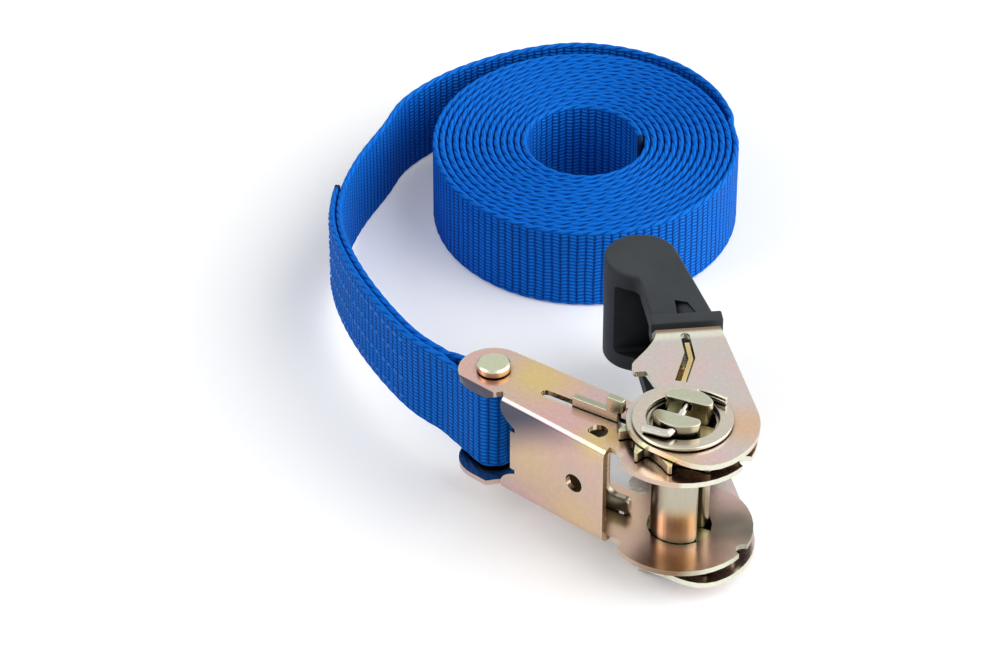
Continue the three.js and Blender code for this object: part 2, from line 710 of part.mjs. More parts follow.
function driveBody() {
  const half = DRIVE_THICK / 2;
  const q0 = DRIVE_Q - half;
  const pullP = DRIVE_TOP_P - DRIVE_THICK;
  const tongueEnd = DRIVE_TOP_P + DRIVE_TONGUE;
  return slab(drivePlate(DRIVE_BODY_LEG), -DRIVE_BODY_HALF, DRIVE_BODY_HALF)
    .add(slabPair(drivePlate(DRIVE_LEG), DRIVE_EAR_LOW, DRIVE_EAR_TOP))
    .add(block(pullP, DRIVE_TOP_P, q0, PULL_Q, PULL_LOW, PULL_HIGH))
    .add(block(pullP, DRIVE_TOP_P, q0, PULL_Q, -PULL_HIGH, -PULL_LOW))
    .add(block(DRIVE_TOP_P - OVERLAP, tongueEnd, q0, DRIVE_Q + half, -TONGUE_HALF, TONGUE_HALF));
}

// Spool

// Half-round outline on the +Y side of the slot, grown by a gap
function halfRound(gap) {
  const radius = SPOOL_R + gap;
  const corner = SPOOL_CORNER + gap;
  const y = SPOOL_SLOT / 2 - gap + corner;
  const x = Math.sqrt((radius - corner) ** 2 - y * y);
  const start = Math.atan2(y, x);
  const half = Math.PI;
  const shape = new THREE.Shape();
  shape.absarc(0, 0, radius, start, half - start, false);
  shape.absarc(-x, y, corner, half - start, 1.5 * half, false);
  shape.absarc(x, y, corner, -half / 2, start, false);
  shape.closePath();
  return shape;
}

function spoolBar() {
  const across = new THREE.CylinderGeometry(PIN_HOLE_R, PIN_HOLE_R, 2 * SPOOL_R, PIN_SIDES);
  const upper = solid(across.clone().translate(0, SPOOL_R, PIN_Z));
  const lower = solid(across.clone().translate(0, SPOOL_R, -PIN_Z));
  return slab(halfRound(0), -SPOOL_HALF, SPOOL_HALF).subtract(upper).subtract(lower);
}

function wheelOutline() {
  const points = [];
  for (let tooth = 0; tooth < TEETH; tooth += 1) {
    TOOTH_PROFILE.forEach(([share, turn]) => {
      const radius = TOOTH_ROOT_R + share * (TOOTH_TIP_R - TOOTH_ROOT_R);
      const angle = TOOTH_PHASE - SPOOL_REST + (tooth * TOOTH_PITCH + turn) * DEG;
      points.push(polar(radius, angle));
    });
  }
  return shapeOf(points);
}

function wheelBody(z0, z1) {
  const key = slab(halfRound(KEY_GAP), z0 - CUT_OVER, z1 + CUT_OVER);
  const otherKey = key.rotate([0, 0, 180]);
  return slab(wheelOutline(), z0, z1).subtract(key).subtract(otherKey);
}

const washerBody = (z0) => slab(withHole(disc(0, 0, WASHER_R), 0, 0, WASHER_HOLE_R), z0, z0 + WASHER_THICK);

function pinBody(z) {
  const bend = LEG_BEND / 4;
  return solid(wire([
    [LEG_LENGTH, LEG_Y - LEG_DROP, z],
    [LEG_LENGTH / 2, LEG_Y, z],
    [LEG_BEND, LEG_Y, z],
    [bend, LEG_Y - bend, z],
    [0, SPOOL_R, z],
    [0, SPOOL_R / 2, z],
    [0, 0, z],
    [0, -SPOOL_R / 2, z],
    [0, -SPOOL_R, z],
    [-bend, bend - LEG_Y, z],
    [-LEG_BEND, -LEG_Y, z],
    [-EYE_LENGTH / 2, -LEG_Y, z],
    [-EYE_LENGTH, -LEG_Y, z],
  ], PIN_R, PIN_SIDES, PIN_STEPS));
}

// Strap

// A flat band on edge: plan points, with the low edge of the webbing at each point
function band(points, lows) {
  const count = points.length;
  const positions = [];
  const index = [];
  points.forEach(([x, y], i) => {
    const before = points[Math.max(i - 1, 0)];
    const after = points[Math.min(i + 1, count - 1)];
    const run = Math.hypot(after[0] - before[0], after[1] - before[1]);
    const sideX = (-(after[1] - before[1]) / run) * STRAP_HALF;
    const sideY = ((after[0] - before[0]) / run) * STRAP_HALF;
    const top = lows[i] + STRAP_WIDE;
    positions.push(x + sideX, y + sideY, lows[i]);
    positions.push(x - sideX, y - sideY, lows[i]);
    positions.push(x - sideX, y - sideY, top);
    positions.push(x + sideX, y + sideY, top);
  });
  for (let i = 0; i < count - 1; i += 1) {
    for (let side = 0; side < 4; side += 1) {
      const a = 4 * i + side;
      const b = 4 * i + ((side + 1) % 4);
      index.push(a, a + 4, b, b, a + 4, b + 4);
    }
  }
  const last = 4 * (count - 1);
  index.push(0, 1, 2, 0, 2, 3);
  index.push(last, last + 2, last + 1, last, last + 3, last + 2);
  const geometry = new THREE.BufferGeometry();
  geometry.setAttribute('position', new THREE.Float32BufferAttribute(positions, 3));
  geometry.setIndex(index);
  geometry.computeVertexNormals();
  return geometry;
}

function rollPoint(turn) {
  const radius = ROLL_R0 + (ROLL_PITCH * (turn + ROLL_LEAD_IN)) / (2 * Math.PI);
  const x = radius * Math.cos(turn);
  const y = ROLL_OVAL * radius * Math.sin(turn);
  const [cos, sin] = polar(1, ROLL_AXIS);
  return [ROLL_X + x * cos - y * sin, ROLL_Y + x * sin + y * cos];
}

function rollPoints() {
  const points = [rollPoint(-ROLL_LEAD_IN)];
  for (let i = 0; i <= ROLL_TURNS * ROLL_STEPS; i += 1) {
    points.push(rollPoint((2 * Math.PI * i) / ROLL_STEPS));
  }
  return points;
}

// Least distance between turns, face to face, on the points of the band
function leastGap(points, skip) {
  let least = Infinity;
  points.forEach(([x, y], i) => {
    for (let j = i + skip; j < points.length - 1; j += 1) {
      const [ax, ay] = points[j];
      const dx = points[j + 1][0] - ax;
      const dy = points[j + 1][1] - ay;
      const along = ((x - ax) * dx + (y - ay) * dy) / (dx * dx + dy * dy);
      const t = Math.min(Math.max(along, 0), 1);
      least = Math.min(least, Math.hypot(ax + t * dx - x, ay + t * dy - y));
    }
  });
  return least - STRAP_THICK;
}

const smooth = (x, x0, x1) => THREE.MathUtils.smoothstep(x, x0, x1);

function leadPoints() {
  const start = [BOLT_X + EYE_CLOSE * Math.cos(LEAD_HEADING), BOLT_Y + EYE_CLOSE * Math.sin(LEAD_HEADING)];
  const turn = (2 * Math.PI) / ROLL_STEPS;
  const last = 2 * Math.PI * ROLL_TURNS;
  const route = [start, ...LEAD_POINTS, rollPoint(last + turn), rollPoint(last)];
  const line = new THREE.CatmullRomCurve3(route.map(([x, y]) => new THREE.Vector3(x, y, 0)));
  const count = Math.round(line.getLength() / LEAD_STEP);
  return line.getSpacedPoints(count).map((p) => [p.x, p.y]);
}

function lengthsOf(points) {
  const lengths = [0];
  for (let i = 1; i < points.length; i += 1) {
    const step = Math.hypot(points[i][0] - points[i - 1][0], points[i][1] - points[i - 1][1]);
    lengths.push(lengths[i - 1] + step);
  }
  return lengths;
}

function aside(points, offset) {
  return points.map(([x, y], i) => {
    const before = points[Math.max(i - 1, 0)];
    const after = points[Math.min(i + 1, points.length - 1)];
    const run = Math.hypot(after[0] - before[0], after[1] - before[1]);
    return [x - (offset * (after[1] - before[1])) / run, y + (offset * (after[0] - before[0])) / run];
  });
}

function strapPieces() {
  const lead = leadPoints();
  const lengths = lengthsOf(lead);
  const low = (s) => STRAP_LOW + (FLOOR_Z - STRAP_LOW) * smooth(s, SETTLE_START, SETTLE_END);
  const sewn = lead.filter((_, i) => lengths[i] <= SEWN_LENGTH);
  const sewnLows = sewn.map((_, i) => low(lengths[i]));
  const ply = STRAP_THICK + PLY_GAP;
  const tail = aside(sewn, ply).reverse();
  const eyeR = BOLT_R + SEAT_GAP + SLEEVE_WALL + SEAT_GAP + STRAP_HALF;
  const eye = [];
  for (let i = 0; i <= EYE_TURN_STEPS; i += 1) {
    const angle = LEAD_HEADING + Math.PI / 2 + (Math.PI * i) / EYE_TURN_STEPS;
    eye.push([BOLT_X + eyeR * Math.cos(angle), BOLT_Y + eyeR * Math.sin(angle)]);
  }
  const loop = [...tail, ...eye, ...sewn];
  const loopLows = [...sewnLows.slice().reverse(), ...eye.map(() => STRAP_LOW), ...sewnLows];
  const cut = sewn.length - 1;
  const gapLine = lead.slice(cut);
  const share = JOIN_GAP / Math.hypot(gapLine[1][0] - gapLine[0][0], gapLine[1][1] - gapLine[0][1]);
  const free = [mix(gapLine[0], gapLine[1], share), ...gapLine.slice(1)];
  const tip = free.length - 1;
  const back = JOIN_GAP / Math.hypot(free[tip][0] - free[tip - 1][0], free[tip][1] - free[tip - 1][1]);
  free[tip] = mix(free[tip], free[tip - 1], back);
  const freeLows = free.map((_, i) => low(lengths[cut + i]));
  const roll = rollPoints();
  const rollLength = lengthsOf(roll).at(-1);
  const total = rollLength + lengths.at(-1) + SEWN_LENGTH + Math.PI * eyeR;
  console.log('roll: least gap to itself', leastGap(roll, ROLL_STEPS / 2).toFixed(2), 'mm');
  console.log('lead: least gap to itself', leastGap(lead, ROLL_STEPS).toFixed(2), 'mm');
  console.log('strap: length', total.toFixed(0), 'mm');
  return [
    piece('strap_loop', band(loop, loopLows), WEBBING),
    piece('strap_lead', band(free, freeLows), WEBBING),
    piece('strap_roll', band(roll, roll.map(() => FLOOR_Z)), WEBBING),
  ];
}

function mix([ax, ay], [bx, by], t) {
  return [ax + (bx - ax) * t, ay + (by - ay) * t];
}

// Assembly

function group(name, ...children) {
  const set = new THREE.Group();
  set.name = name;
  set.add(...children);
  return set;
}

const bolt = piece('tab_bolt', boltBody(), WASHER_FINISH);
const sleeve = piece('tab_sleeve', sleeveBody(), WIRE_FINISH);
bolt.position.set(BOLT_X, BOLT_Y, 0);
sleeve.position.set(BOLT_X, BOLT_Y, 0);

const lockStart = LOCK_REAR + SEAT_GAP;
const lockSeat = (-WAIST_X - OVERLAP - Math.abs(LOCK_OFFSET) * Math.sin(LOCK_TURN)) / Math.cos(LOCK_TURN);
const lockSpring = piece('lock_spring', coil(lockStart, lockSeat - RUN_GAP, LOCK_CURLS), WIRE_FINISH);
const lockPawl = piece('lock_pawl', sideSlab(lockProfile(), -LOCK_THICK / 2, LOCK_THICK / 2), WHEEL_FINISH);
const lockLine = group('lock_line', lockPawl, lockSpring);
lockLine.position.set(LOCK_OFFSET * -Math.sin(LOCK_TURN), LOCK_OFFSET * Math.cos(LOCK_TURN), 0);
lockLine.rotation.z = Math.PI + LOCK_TURN;

const rearBar = piece('spool_bar_rear', spoolBar(), SPOOL_FINISH);
const frontBar = piece('spool_bar_front', spoolBar(), SPOOL_FINISH);
frontBar.rotation.z = Math.PI;
const spool = group(
  'spool',
  rearBar,
  frontBar,
  piece('ratchet_wheel_upper', wheelBody(WHEEL_LOW, WHEEL_TOP), WHEEL_FINISH),
  piece('ratchet_wheel_lower', wheelBody(-WHEEL_TOP, -WHEEL_LOW), WHEEL_FINISH),
  piece('washer_upper', washerBody(WASHER_LOW), WASHER_FINISH),
  piece('washer_lower', washerBody(-WASHER_TOP), WASHER_FINISH),
  piece('split_pin_upper', pinBody(PIN_Z), WIRE_FINISH),
  piece('split_pin_lower', pinBody(-PIN_Z), WIRE_FINISH),
);
spool.rotation.z = SPOOL_REST;

const driveCoil = coil(DRIVE_TOP_P + SEAT_GAP, SEAT_P0 - SEAT_GAP, DRIVE_CURLS);
const driveSpring = piece('drive_spring', driveCoil, WIRE_FINISH);
driveSpring.position.y = DRIVE_Q;
const handle = group(
  'handle_set',
  piece('handle', handleBody(), HANDLE_FINISH),
  piece('handle_grip', gripBody(), RUBBER),
  piece('drive_pawl', driveBody(), WHEEL_FINISH),
  driveSpring,
);
handle.rotation.z = HANDLE_REST;

const ratchet = group('ratchet', piece('frame', frameBody(), FRAME_FINISH), bolt, sleeve, lockLine, spool, handle);
const box = new THREE.Box3().setFromObject(ratchet, true);
const assembly = group('ratchet_strap', ratchet, ...strapPieces());
assembly.position.set(-(box.min.x + box.max.x) / 2, -(box.min.y + box.max.y) / 2, -box.min.z);
console.log('ratchet box', box.min.toArray().map((v) => v.toFixed(2)), box.max.toArray().map((v) => v.toFixed(2)));

const part = group('part', assembly);
export default part;
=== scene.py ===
# %% [markdown]
# # A ratchet strap, dressed in Blender
# The solids of the ratchet come from CAD and are already in place, in metres, with +Z up.
# This lesson keeps them as a fixed frame and adds what CAD leaves out: woven webbing,
# a moulded rubber grip, plated steel with its colours, and soft light.

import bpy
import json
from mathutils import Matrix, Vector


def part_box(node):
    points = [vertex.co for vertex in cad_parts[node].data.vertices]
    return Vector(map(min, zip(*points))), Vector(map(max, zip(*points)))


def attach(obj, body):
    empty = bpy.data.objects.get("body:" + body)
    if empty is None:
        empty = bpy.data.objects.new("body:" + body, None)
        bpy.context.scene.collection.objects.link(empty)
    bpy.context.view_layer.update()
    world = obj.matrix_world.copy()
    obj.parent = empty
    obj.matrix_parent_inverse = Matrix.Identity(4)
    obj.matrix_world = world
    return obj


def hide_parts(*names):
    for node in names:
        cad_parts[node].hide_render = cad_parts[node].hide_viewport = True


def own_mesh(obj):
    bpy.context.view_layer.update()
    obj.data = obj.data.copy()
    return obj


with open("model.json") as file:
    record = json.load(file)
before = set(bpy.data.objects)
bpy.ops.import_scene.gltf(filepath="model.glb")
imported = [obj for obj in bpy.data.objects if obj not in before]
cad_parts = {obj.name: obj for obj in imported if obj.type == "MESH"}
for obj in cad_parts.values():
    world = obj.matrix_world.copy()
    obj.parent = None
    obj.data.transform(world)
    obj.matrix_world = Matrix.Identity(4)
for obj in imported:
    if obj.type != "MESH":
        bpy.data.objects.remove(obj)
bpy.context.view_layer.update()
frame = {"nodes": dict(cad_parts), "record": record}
nodes = frame["nodes"]

# %% [markdown]
# ## The camera
# The picture is taken from the front and above with a long lens, so that the far roll of
# strap is hardly smaller than the ratchet. A camera could be placed by eye; here its place
# and the point that it looks at are numbers, worked out once from the picture's perspective.

# %% Camera
import json
import math

import bmesh
import bpy
from mathutils import Matrix, Vector, noise
from mathutils.geometry import interpolate_bezier

scene = bpy.context.scene
CAMERA_AT = Vector((0.49816, -0.64544, 0.6565))
LOOK_AT = Vector((-0.07304, 0.02057, 0.0))
SENSOR_MM = 36.0
LENS_MM = 144.0
lens = bpy.data.cameras.new("camera")
lens.sensor_width = SENSOR_MM
lens.lens = LENS_MM
camera = bpy.data.objects.new("camera", lens)
camera.location = CAMERA_AT
camera.rotation_euler = (LOOK_AT - CAMERA_AT).to_track_quat("-Z", "Y").to_euler()
scene.collection.objects.link(camera)
scene.camera = camera
print("camera", round((LOOK_AT - CAMERA_AT).length, 3), "m away")

# %% [markdown]
# ## The strap's route
# The webbing is one strip. It starts at the sewn tail, runs to the bolt, goes round it, comes
# back beside the tail, leaves the ratchet, drops to the floor and winds into a roll, always
# standing on its edge. The route is a line in plan, with a height for the webbing's low edge.
# Bezier pieces through a few points make the loose part, and a spiral makes the roll.

# %% Route of the strap in plan
MM = 0.001
low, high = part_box("washer_upper")
SPOOL = (low + high) / 2
low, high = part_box("tab_bolt")
BOLT = (low + high) / 2
MID_HEIGHT = 0.024
SPOOL_REST = math.radians(17.7)
HANDLE_REST = math.radians(137)
at_spool = Matrix.Translation((SPOOL.x, SPOOL.y, MID_HEIGHT)) @ Matrix.Scale(MM, 4)
on_spool = at_spool @ Matrix.Rotation(SPOOL_REST, 4, "Z")
on_handle = at_spool @ Matrix.Rotation(HANDLE_REST, 4, "Z")
STRAP_WIDE = 25 * MM
STRAP_THICK = 1.7 * MM
LEAD_HEADING = math.radians(178)
EYE_RADIUS = 5.2 * MM
EYE_CLOSE = 16 * MM
SEWN_LENGTH = 98 * MM
PLY_STEP = 1.9 * MM
LEAD = [
    (-80.0, -8.3), (-91.0, -5.2), (-106.0, 1.0), (-121.0, 10.0), (-136.0, 22.0), (-148.5, 36.5),
    (-158.0, 53.5), (-164.0, 71.6), (-168.1, 83.3), (-168.6, 96.1), (-166.4, 109.4), (-160.3, 125.0),
    (-150.0, 138.8), (-136.2, 146.8), (-120.4, 149.9), (-104.6, 146.5), (-91.6, 138.2),
]
ROLL_CENTRE = (-116.1, 102.0)
ROLL_AXIS = math.radians(40.6)
ROLL_OVAL = 1.06
ROLL_R0 = 15.9
ROLL_PITCH = 1.92
ROLL_TURNS = 14
ROLL_STEPS = 28
ROLL_LEAD_IN = math.radians(15)
LAST_TURN = math.tau * ROLL_TURNS
LEAD_STEP = 2 * MM
KNOT_STEPS, EYE_STEPS, TURN_POINTS, ROUTE_STEPS = 12, 18, 90, 3


def plan(x, y):
    """A plan point, given in millimetres from the spool."""
    return Vector((SPOOL.x + x * MM, SPOOL.y + y * MM))


def heading(turn):
    return Vector((math.cos(turn), math.sin(turn)))


def roll_point(turn):
    """A point of the roll, by the angle wound on from its inner end."""
    radius = ROLL_R0 + ROLL_PITCH * (turn + ROLL_LEAD_IN) / math.tau
    x, y = radius * math.cos(turn), ROLL_OVAL * radius * math.sin(turn)
    cos, sin = math.cos(ROLL_AXIS), math.sin(ROLL_AXIS)
    return plan(ROLL_CENTRE[0] + x * cos - y * sin, ROLL_CENTRE[1] + x * sin + y * cos)


def eased_line(points, steps):
    """A smooth line through the points, one Bezier piece between each two."""
    ends = [2 * points[0] - points[1], *points, 2 * points[-1] - points[-2]]
    line = []
    for a, b, c, d in zip(ends, ends[1:], ends[2:], ends[3:]):
        before, here, after = (math.sqrt((q - p).length) for p, q in ((a, b), (b, c), (c, d)))
        leave = (b - a) / before - (c - a) / (before + here) + (c - b) / here
        arrive = (c - b) / here - (d - b) / (here + after) + (d - c) / after
        line += interpolate_bezier(b, b + leave * here / 3, c - arrive * here / 3, c, steps)[:-1]
    return [*(Vector(p[:2]) for p in line), points[-1]]


def beside(line, offset):
    """The line moved sideways, to its left."""
    moved = []
    for i, point in enumerate(line):
        way = (line[min(i + 1, len(line) - 1)] - line[max(i - 1, 0)]).normalized()
        moved.append(point + offset * Vector((-way.y, way.x)))
    return moved


def evenly(line, step):
    """The line again, in equal steps."""
    total = sum((b - a).length for a, b in zip(line, line[1:]))
    count = round(total / step)
    even, run, i = [], 0.0, 0
    for k in range(count + 1):
        want = total * k / count
        while i < len(line) - 2 and run + (line[i + 1] - line[i]).length < want:
            run += (line[i + 1] - line[i]).length
            i += 1
        part = line[i + 1] - line[i]
        even.append(line[i] + part * min(1.0, (want - run) / part.length))
    return even, total


lead_knots = [
    BOLT.to_2d() + EYE_CLOSE * heading(LEAD_HEADING), *(plan(x, y) for x, y in LEAD),
    roll_point(LAST_TURN + math.tau / ROLL_STEPS), roll_point(LAST_TURN),
]
lead = evenly(eased_line(lead_knots, KNOT_STEPS), LEAD_STEP)[0]
sewn = [p for i, p in enumerate(lead) if i * LEAD_STEP <= SEWN_LENGTH]
eye_turns = [LEAD_HEADING + math.pi / 2 + math.pi * i / EYE_STEPS for i in range(EYE_STEPS + 1)]
eye = [BOLT.to_2d() + EYE_RADIUS * heading(turn) for turn in eye_turns]
roll_points = ROLL_TURNS * TURN_POINTS
roll = [roll_point(LAST_TURN * i / roll_points) for i in range(roll_points, -1, -1)]
tail = beside(sewn, PLY_STEP)[::-1]
route = eased_line([*tail, *eye, *lead[:-1]], ROUTE_STEPS) + roll
print("route of", len(route), "points")

# %% [markdown]
# ## The webbing
# Real webbing is a flat woven band with plump, beaded edges where the weft turns back.
# A thin box swept along the route would look like tape. Instead a flat grid is made, with
# rows along the strap and columns round its section, and each row is laid on the route. The
# columns at the two edges swell and pinch along the length, so the selvedge beads are real.

# %% Lay the webbing along its route
ROW_STEP = 0.6 * MM
BEAD_PITCH = 4.56
BEAD_SLANT = 2.3
SETTLE_START, SETTLE_END = 30 * MM, 120 * MM
EDGE_TURNS = (0, 0.55, 1.1, math.pi / 2)
EDGE_DEEP, EDGE_CALM = 1.05, 0.55
FACE_FROM, FACE_THIN = 2.6, 0.94
PINCH, PINCH_ROUND = 0.3, 0.7
WANDER, WANDER_LONG, WANDER_SEED = 0.16, 0.035, (0.3, 0.7)
centre_line, STRAP_LENGTH = evenly(route, ROW_STEP)
eye_end = sum((b - a).length for a, b in zip([*tail, *eye], [*tail[1:], *eye]))
eye_middle = eye_end - math.pi * EYE_RADIUS / 2
eye_reach = math.pi * EYE_RADIUS / 2 + (lead[0] - eye[-1]).length


def low_edge(run):
    """Height of the webbing's low edge, by the length from the tail's end."""
    away = abs(run - eye_middle) - eye_reach
    share = min(1.0, max(0.0, (away - SETTLE_START) / (SETTLE_END - SETTLE_START)))
    return (MID_HEIGHT - STRAP_WIDE / 2) * (1 - share * share * (3 - 2 * share))


def half_section():
    """Half of the section's columns, from the low edge round one face to the high edge.

    Each is how far it lies across and up, in millimetres, and how much it takes part in the beads.
    """
    half, thick = STRAP_WIDE / MM / 2, STRAP_THICK / MM / 2
    rise = [
        (math.sin(turn) * thick, -half + EDGE_DEEP * (1 - math.cos(turn)), 1 - math.sin(turn) * EDGE_CALM)
        for turn in EDGE_TURNS
    ]
    flat = [(thick * FACE_THIN, -half + FACE_FROM, 0.0), (thick * FACE_THIN, half - FACE_FROM, 0.0)]
    return [*rise, *flat, *((x, -y, swell) for x, y, swell in rise[::-1])]


one_side = half_section()
ring = [*one_side, *((-x, y, swell) for x, y, swell in one_side[-2:0:-1]), one_side[0]]
around = [0.0]
for (x0, y0, _), (x1, y1, _) in zip(ring, ring[1:]):
    around.append(around[-1] + math.hypot(x1 - x0, y1 - y0))
HALF_ROUND = around[len(one_side) - 1]


def webbing_point(row, column):
    """Where a point of the grid lies: beside and above the route, pinched between the beads."""
    last = len(centre_line) - 1
    run = STRAP_LENGTH * row / last
    point = centre_line[row]
    way = (centre_line[min(row + 1, last)] - centre_line[max(row - 1, 0)]).normalized()
    across, up, swell = ring[column]
    past_edge = around[column] - HALF_ROUND * round(around[column] / HALF_ROUND)
    beat = math.sin(math.pi * (run / MM + BEAD_SLANT * past_edge) / BEAD_PITCH)
    pinch = swell * (1 - abs(beat) ** PINCH_ROUND)
    across *= 1 - PINCH * pinch
    up -= math.copysign(PINCH * pinch, up)
    wander = WANDER * noise.noise((run / WANDER_LONG, *WANDER_SEED)) if up > 0 else 0.0
    shift = Vector((-way.y, way.x)) * across * MM
    height = low_edge(run) + STRAP_WIDE / 2 + (up + wander) * MM
    return Vector((point.x + shift.x, point.y + shift.y, height))


def object_from(bm, name):
    mesh = bpy.data.meshes.new(name)
    bm.to_mesh(mesh)
    bm.free()
    made = bpy.data.objects.new(name, mesh)
    scene.collection.objects.link(made)
    return made


rows, columns = len(centre_line) - 1, len(ring) - 1
bm = bmesh.new()
uv = bm.loops.layers.uv.new("weave")
bmesh.ops.create_grid(bm, x_segments=rows, y_segments=columns, size=0.5)
cells = {v: (round((v.co.x + 0.5) * rows), round((v.co.y + 0.5) * columns)) for v in bm.verts}
for face in bm.faces:
    face.smooth = True
    for loop in face.loops:
        row, column = cells[loop.vert]
        loop[uv].uv = (STRAP_LENGTH * row / rows / MM, around[column])
for vert, (row, column) in cells.items():
    vert.co = webbing_point(row, column)
bmesh.ops.remove_doubles(bm, verts=bm.verts, dist=1e-6)
ends = [e for e in bm.edges if e.is_boundary]
bmesh.ops.holes_fill(bm, edges=ends, sides=len(ring))
bmesh.ops.recalc_face_normals(bm, faces=bm.faces)
strap = object_from(bm, "strap")
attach(strap, "frame")
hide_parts("strap_loop", "strap_lead", "strap_roll")
print("strap", round(STRAP_LENGTH, 3), "m long,", len(strap.data.polygons), "faces")

# %% [markdown]
# ## A small language for materials
# Node trees are easier to read as sums. This class wraps a socket, so that plus, minus, times
# and divide make Math nodes, and one method makes any other node.

# %% Sockets with arithmetic


class Wire:
    """An output socket of a finish, with arithmetic."""

    def __init__(self, finish, socket):
        self.finish, self.socket = finish, socket

    def _sum(self, operation, first, second=0.0):
        return self.finish.node("ShaderNodeMath", {"operation": operation}, {0: first, 1: second})

    def __add__(self, other):
        return self._sum("ADD", self, other)

    def __sub__(self, other):
        return self._sum("SUBTRACT", self, other)

    def __rsub__(self, other):
        return self._sum("SUBTRACT", other, self)

    def __mul__(self, other):
        return self._sum("MULTIPLY", self, other)

    def __truediv__(self, other):
        return self._sum("DIVIDE", self, other)

    def __pow__(self, other):
        return self._sum("POWER", self, other)

    __radd__ = __add__
    __rmul__ = __mul__

    def part(self):
        return self._sum("FRACT", self)

    def whole(self):
        return self._sum("FLOOR", self)

    def size(self):
        return self._sum("ABSOLUTE", self)

    def wave(self):
        return self._sum("SINE", self)

    def least(self, other):
        return self._sum("MINIMUM", self, other)

    def ease(self, start, end):
        """0 before start, 1 after end, smooth between."""
        sockets = {"Value": self, "From Min": start, "From Max": end}
        return self.finish.node("ShaderNodeMapRange", {"interpolation_type": "SMOOTHSTEP"}, sockets)


class Finish:
    """A material: a principled shader, and the nodes that feed it."""

    def __init__(self, name, **constants):
        self.material = bpy.data.materials.new(name)
        self.material.use_nodes = True
        self.tree = self.material.node_tree
        self.shader = self.tree.nodes["Principled BSDF"]
        for socket, value in constants.items():
            self.shader.inputs[socket.replace("_", " ")].default_value = value

    def node(self, kind, settings=None, sockets=None, output=0):
        made = self.tree.nodes.new(kind)
        for key, value in (settings or {}).items():
            setattr(made, key, value)
        for key, value in (sockets or {}).items():
            self.feed(made.inputs[key], value)
        return Wire(self, made.outputs[output])

    def feed(self, socket, value):
        if isinstance(value, Wire):
            self.tree.links.new(value.socket, socket)
        else:
            socket.default_value = value

    def colour(self, share, first, second):
        sockets = {0: share, 6: first, 7: second}
        return self.node("ShaderNodeMix", {"data_type": "RGBA"}, sockets, 2)

    def noise(self, where, scale, detail=3.0, roughness=0.55):
        sockets = {"Vector": where, "Scale": scale, "Detail": detail, "Roughness": roughness}
        return self.node("ShaderNodeTexNoise", {}, sockets)

    def place(self, output="Object"):
        return self.node("ShaderNodeTexCoord", {}, {}, output)

    def split(self, where):
        return [self.node("ShaderNodeSeparateXYZ", {}, {0: where}, axis) for axis in range(3)]

    def stretched(self, where, scale):
        return self.node("ShaderNodeMapping", {}, {"Vector": where, "Scale": scale})

    def bump(self, height, distance, strength=1.0):
        sockets = {"Height": height, "Distance": distance, "Strength": strength}
        self.set("Normal", self.node("ShaderNodeBump", {}, sockets))

    def set(self, socket, value):
        self.feed(self.shader.inputs[socket], value)


def rgb(red, green, blue):
    return (red, green, blue, 1.0)


print("finishes are written as sums")

# %% [markdown]
# ## Woven blue webbing
# The faces show ribs across the strap, a little over 2 mm apart, with soft valleys between them.
# Each rib is a stack of short plump threads, leaning one way and then the other. A picture of cloth
# could be wrapped round, but it would repeat and blur. The strap has its own map, in millimetres
# along and round it, so the weave is a formula for height. Its colour follows the height, as painted
# shade in the valleys and painted highlight on the crowns and beads.
# The two cut ends are sealed with heat, which leaves a dark, smooth band about 2 mm wide.

# %% Webbing finish
RIB, ROW = 2.28, 1.12
SWAY_SCALE, FIBRE_SCALE = (0.11, 0.06, 1.0), (1.3, 6.0, 1.0)
EDGE_FROM, EDGE_TO = 1.0, 1.9
SEAL_FROM, SEAL_TO = 1.5, 2.6
WEAVE_DEEP, WEAVE_SHARE = 0.0006, 0.8
# Blues for painted shade in the valleys, the cloth's own blue, and painted highlight on the crowns
VALLEY_SHADE, MID, CROWN_HIGHLIGHT = rgb(0.0, 0.034, 0.20), rgb(0.0, 0.105, 0.52), rgb(0.006, 0.20, 0.80)
SEALED = rgb(0.012, 0.013, 0.024)
web = Finish("webbing_blue", Roughness=0.7, Specular_IOR_Level=0.07)
on_strap = web.place("UV")
along, round_, _ = web.split(on_strap)
sway = web.noise(web.stretched(on_strap, SWAY_SCALE), 1.0, 2.0) - 0.5
fibre = web.noise(web.stretched(on_strap, FIBRE_SCALE), 1.0, 2.0)

# Ribs across the strap, each a stack of threads that lean to the left or to the right
rib = along / RIB + sway * 0.35
in_rib = (rib.part() - 0.5) * 2.0
slant = (rib.whole() * 0.5).part() * 4.0 - 1.0
stack = round_ / ROW + in_rib * slant * 0.2 + in_rib * in_rib * 0.12 + sway * 0.5
thread = (stack * math.tau).wave() * 0.5 + 0.5
crown = 1.0 - in_rib.size() ** 3.0
dash = thread ** 0.8 * crown

# Beads along both edges, where the thread turns back
past_edge = ((round_ / HALF_ROUND + 0.5).part() - 0.5) * HALF_ROUND
edge = 1.0 - past_edge.size().ease(EDGE_FROM, EDGE_TO)
bead = (((along + past_edge * BEAD_SLANT) / BEAD_PITCH + sway * 0.3).part() - 0.5).size() * 2.0
flank = 0.35 + 0.65 * past_edge.size().ease(0.15, 0.8)
plump = 1.0 - bead.ease(0.66, 1.0) * flank
strand = (past_edge * 5.0 + along * 1.1).wave() * 0.5 + 0.5
curl = (past_edge * past_edge * 9.0 + bead * bead * 5.0).ease(0.2, 1.0)

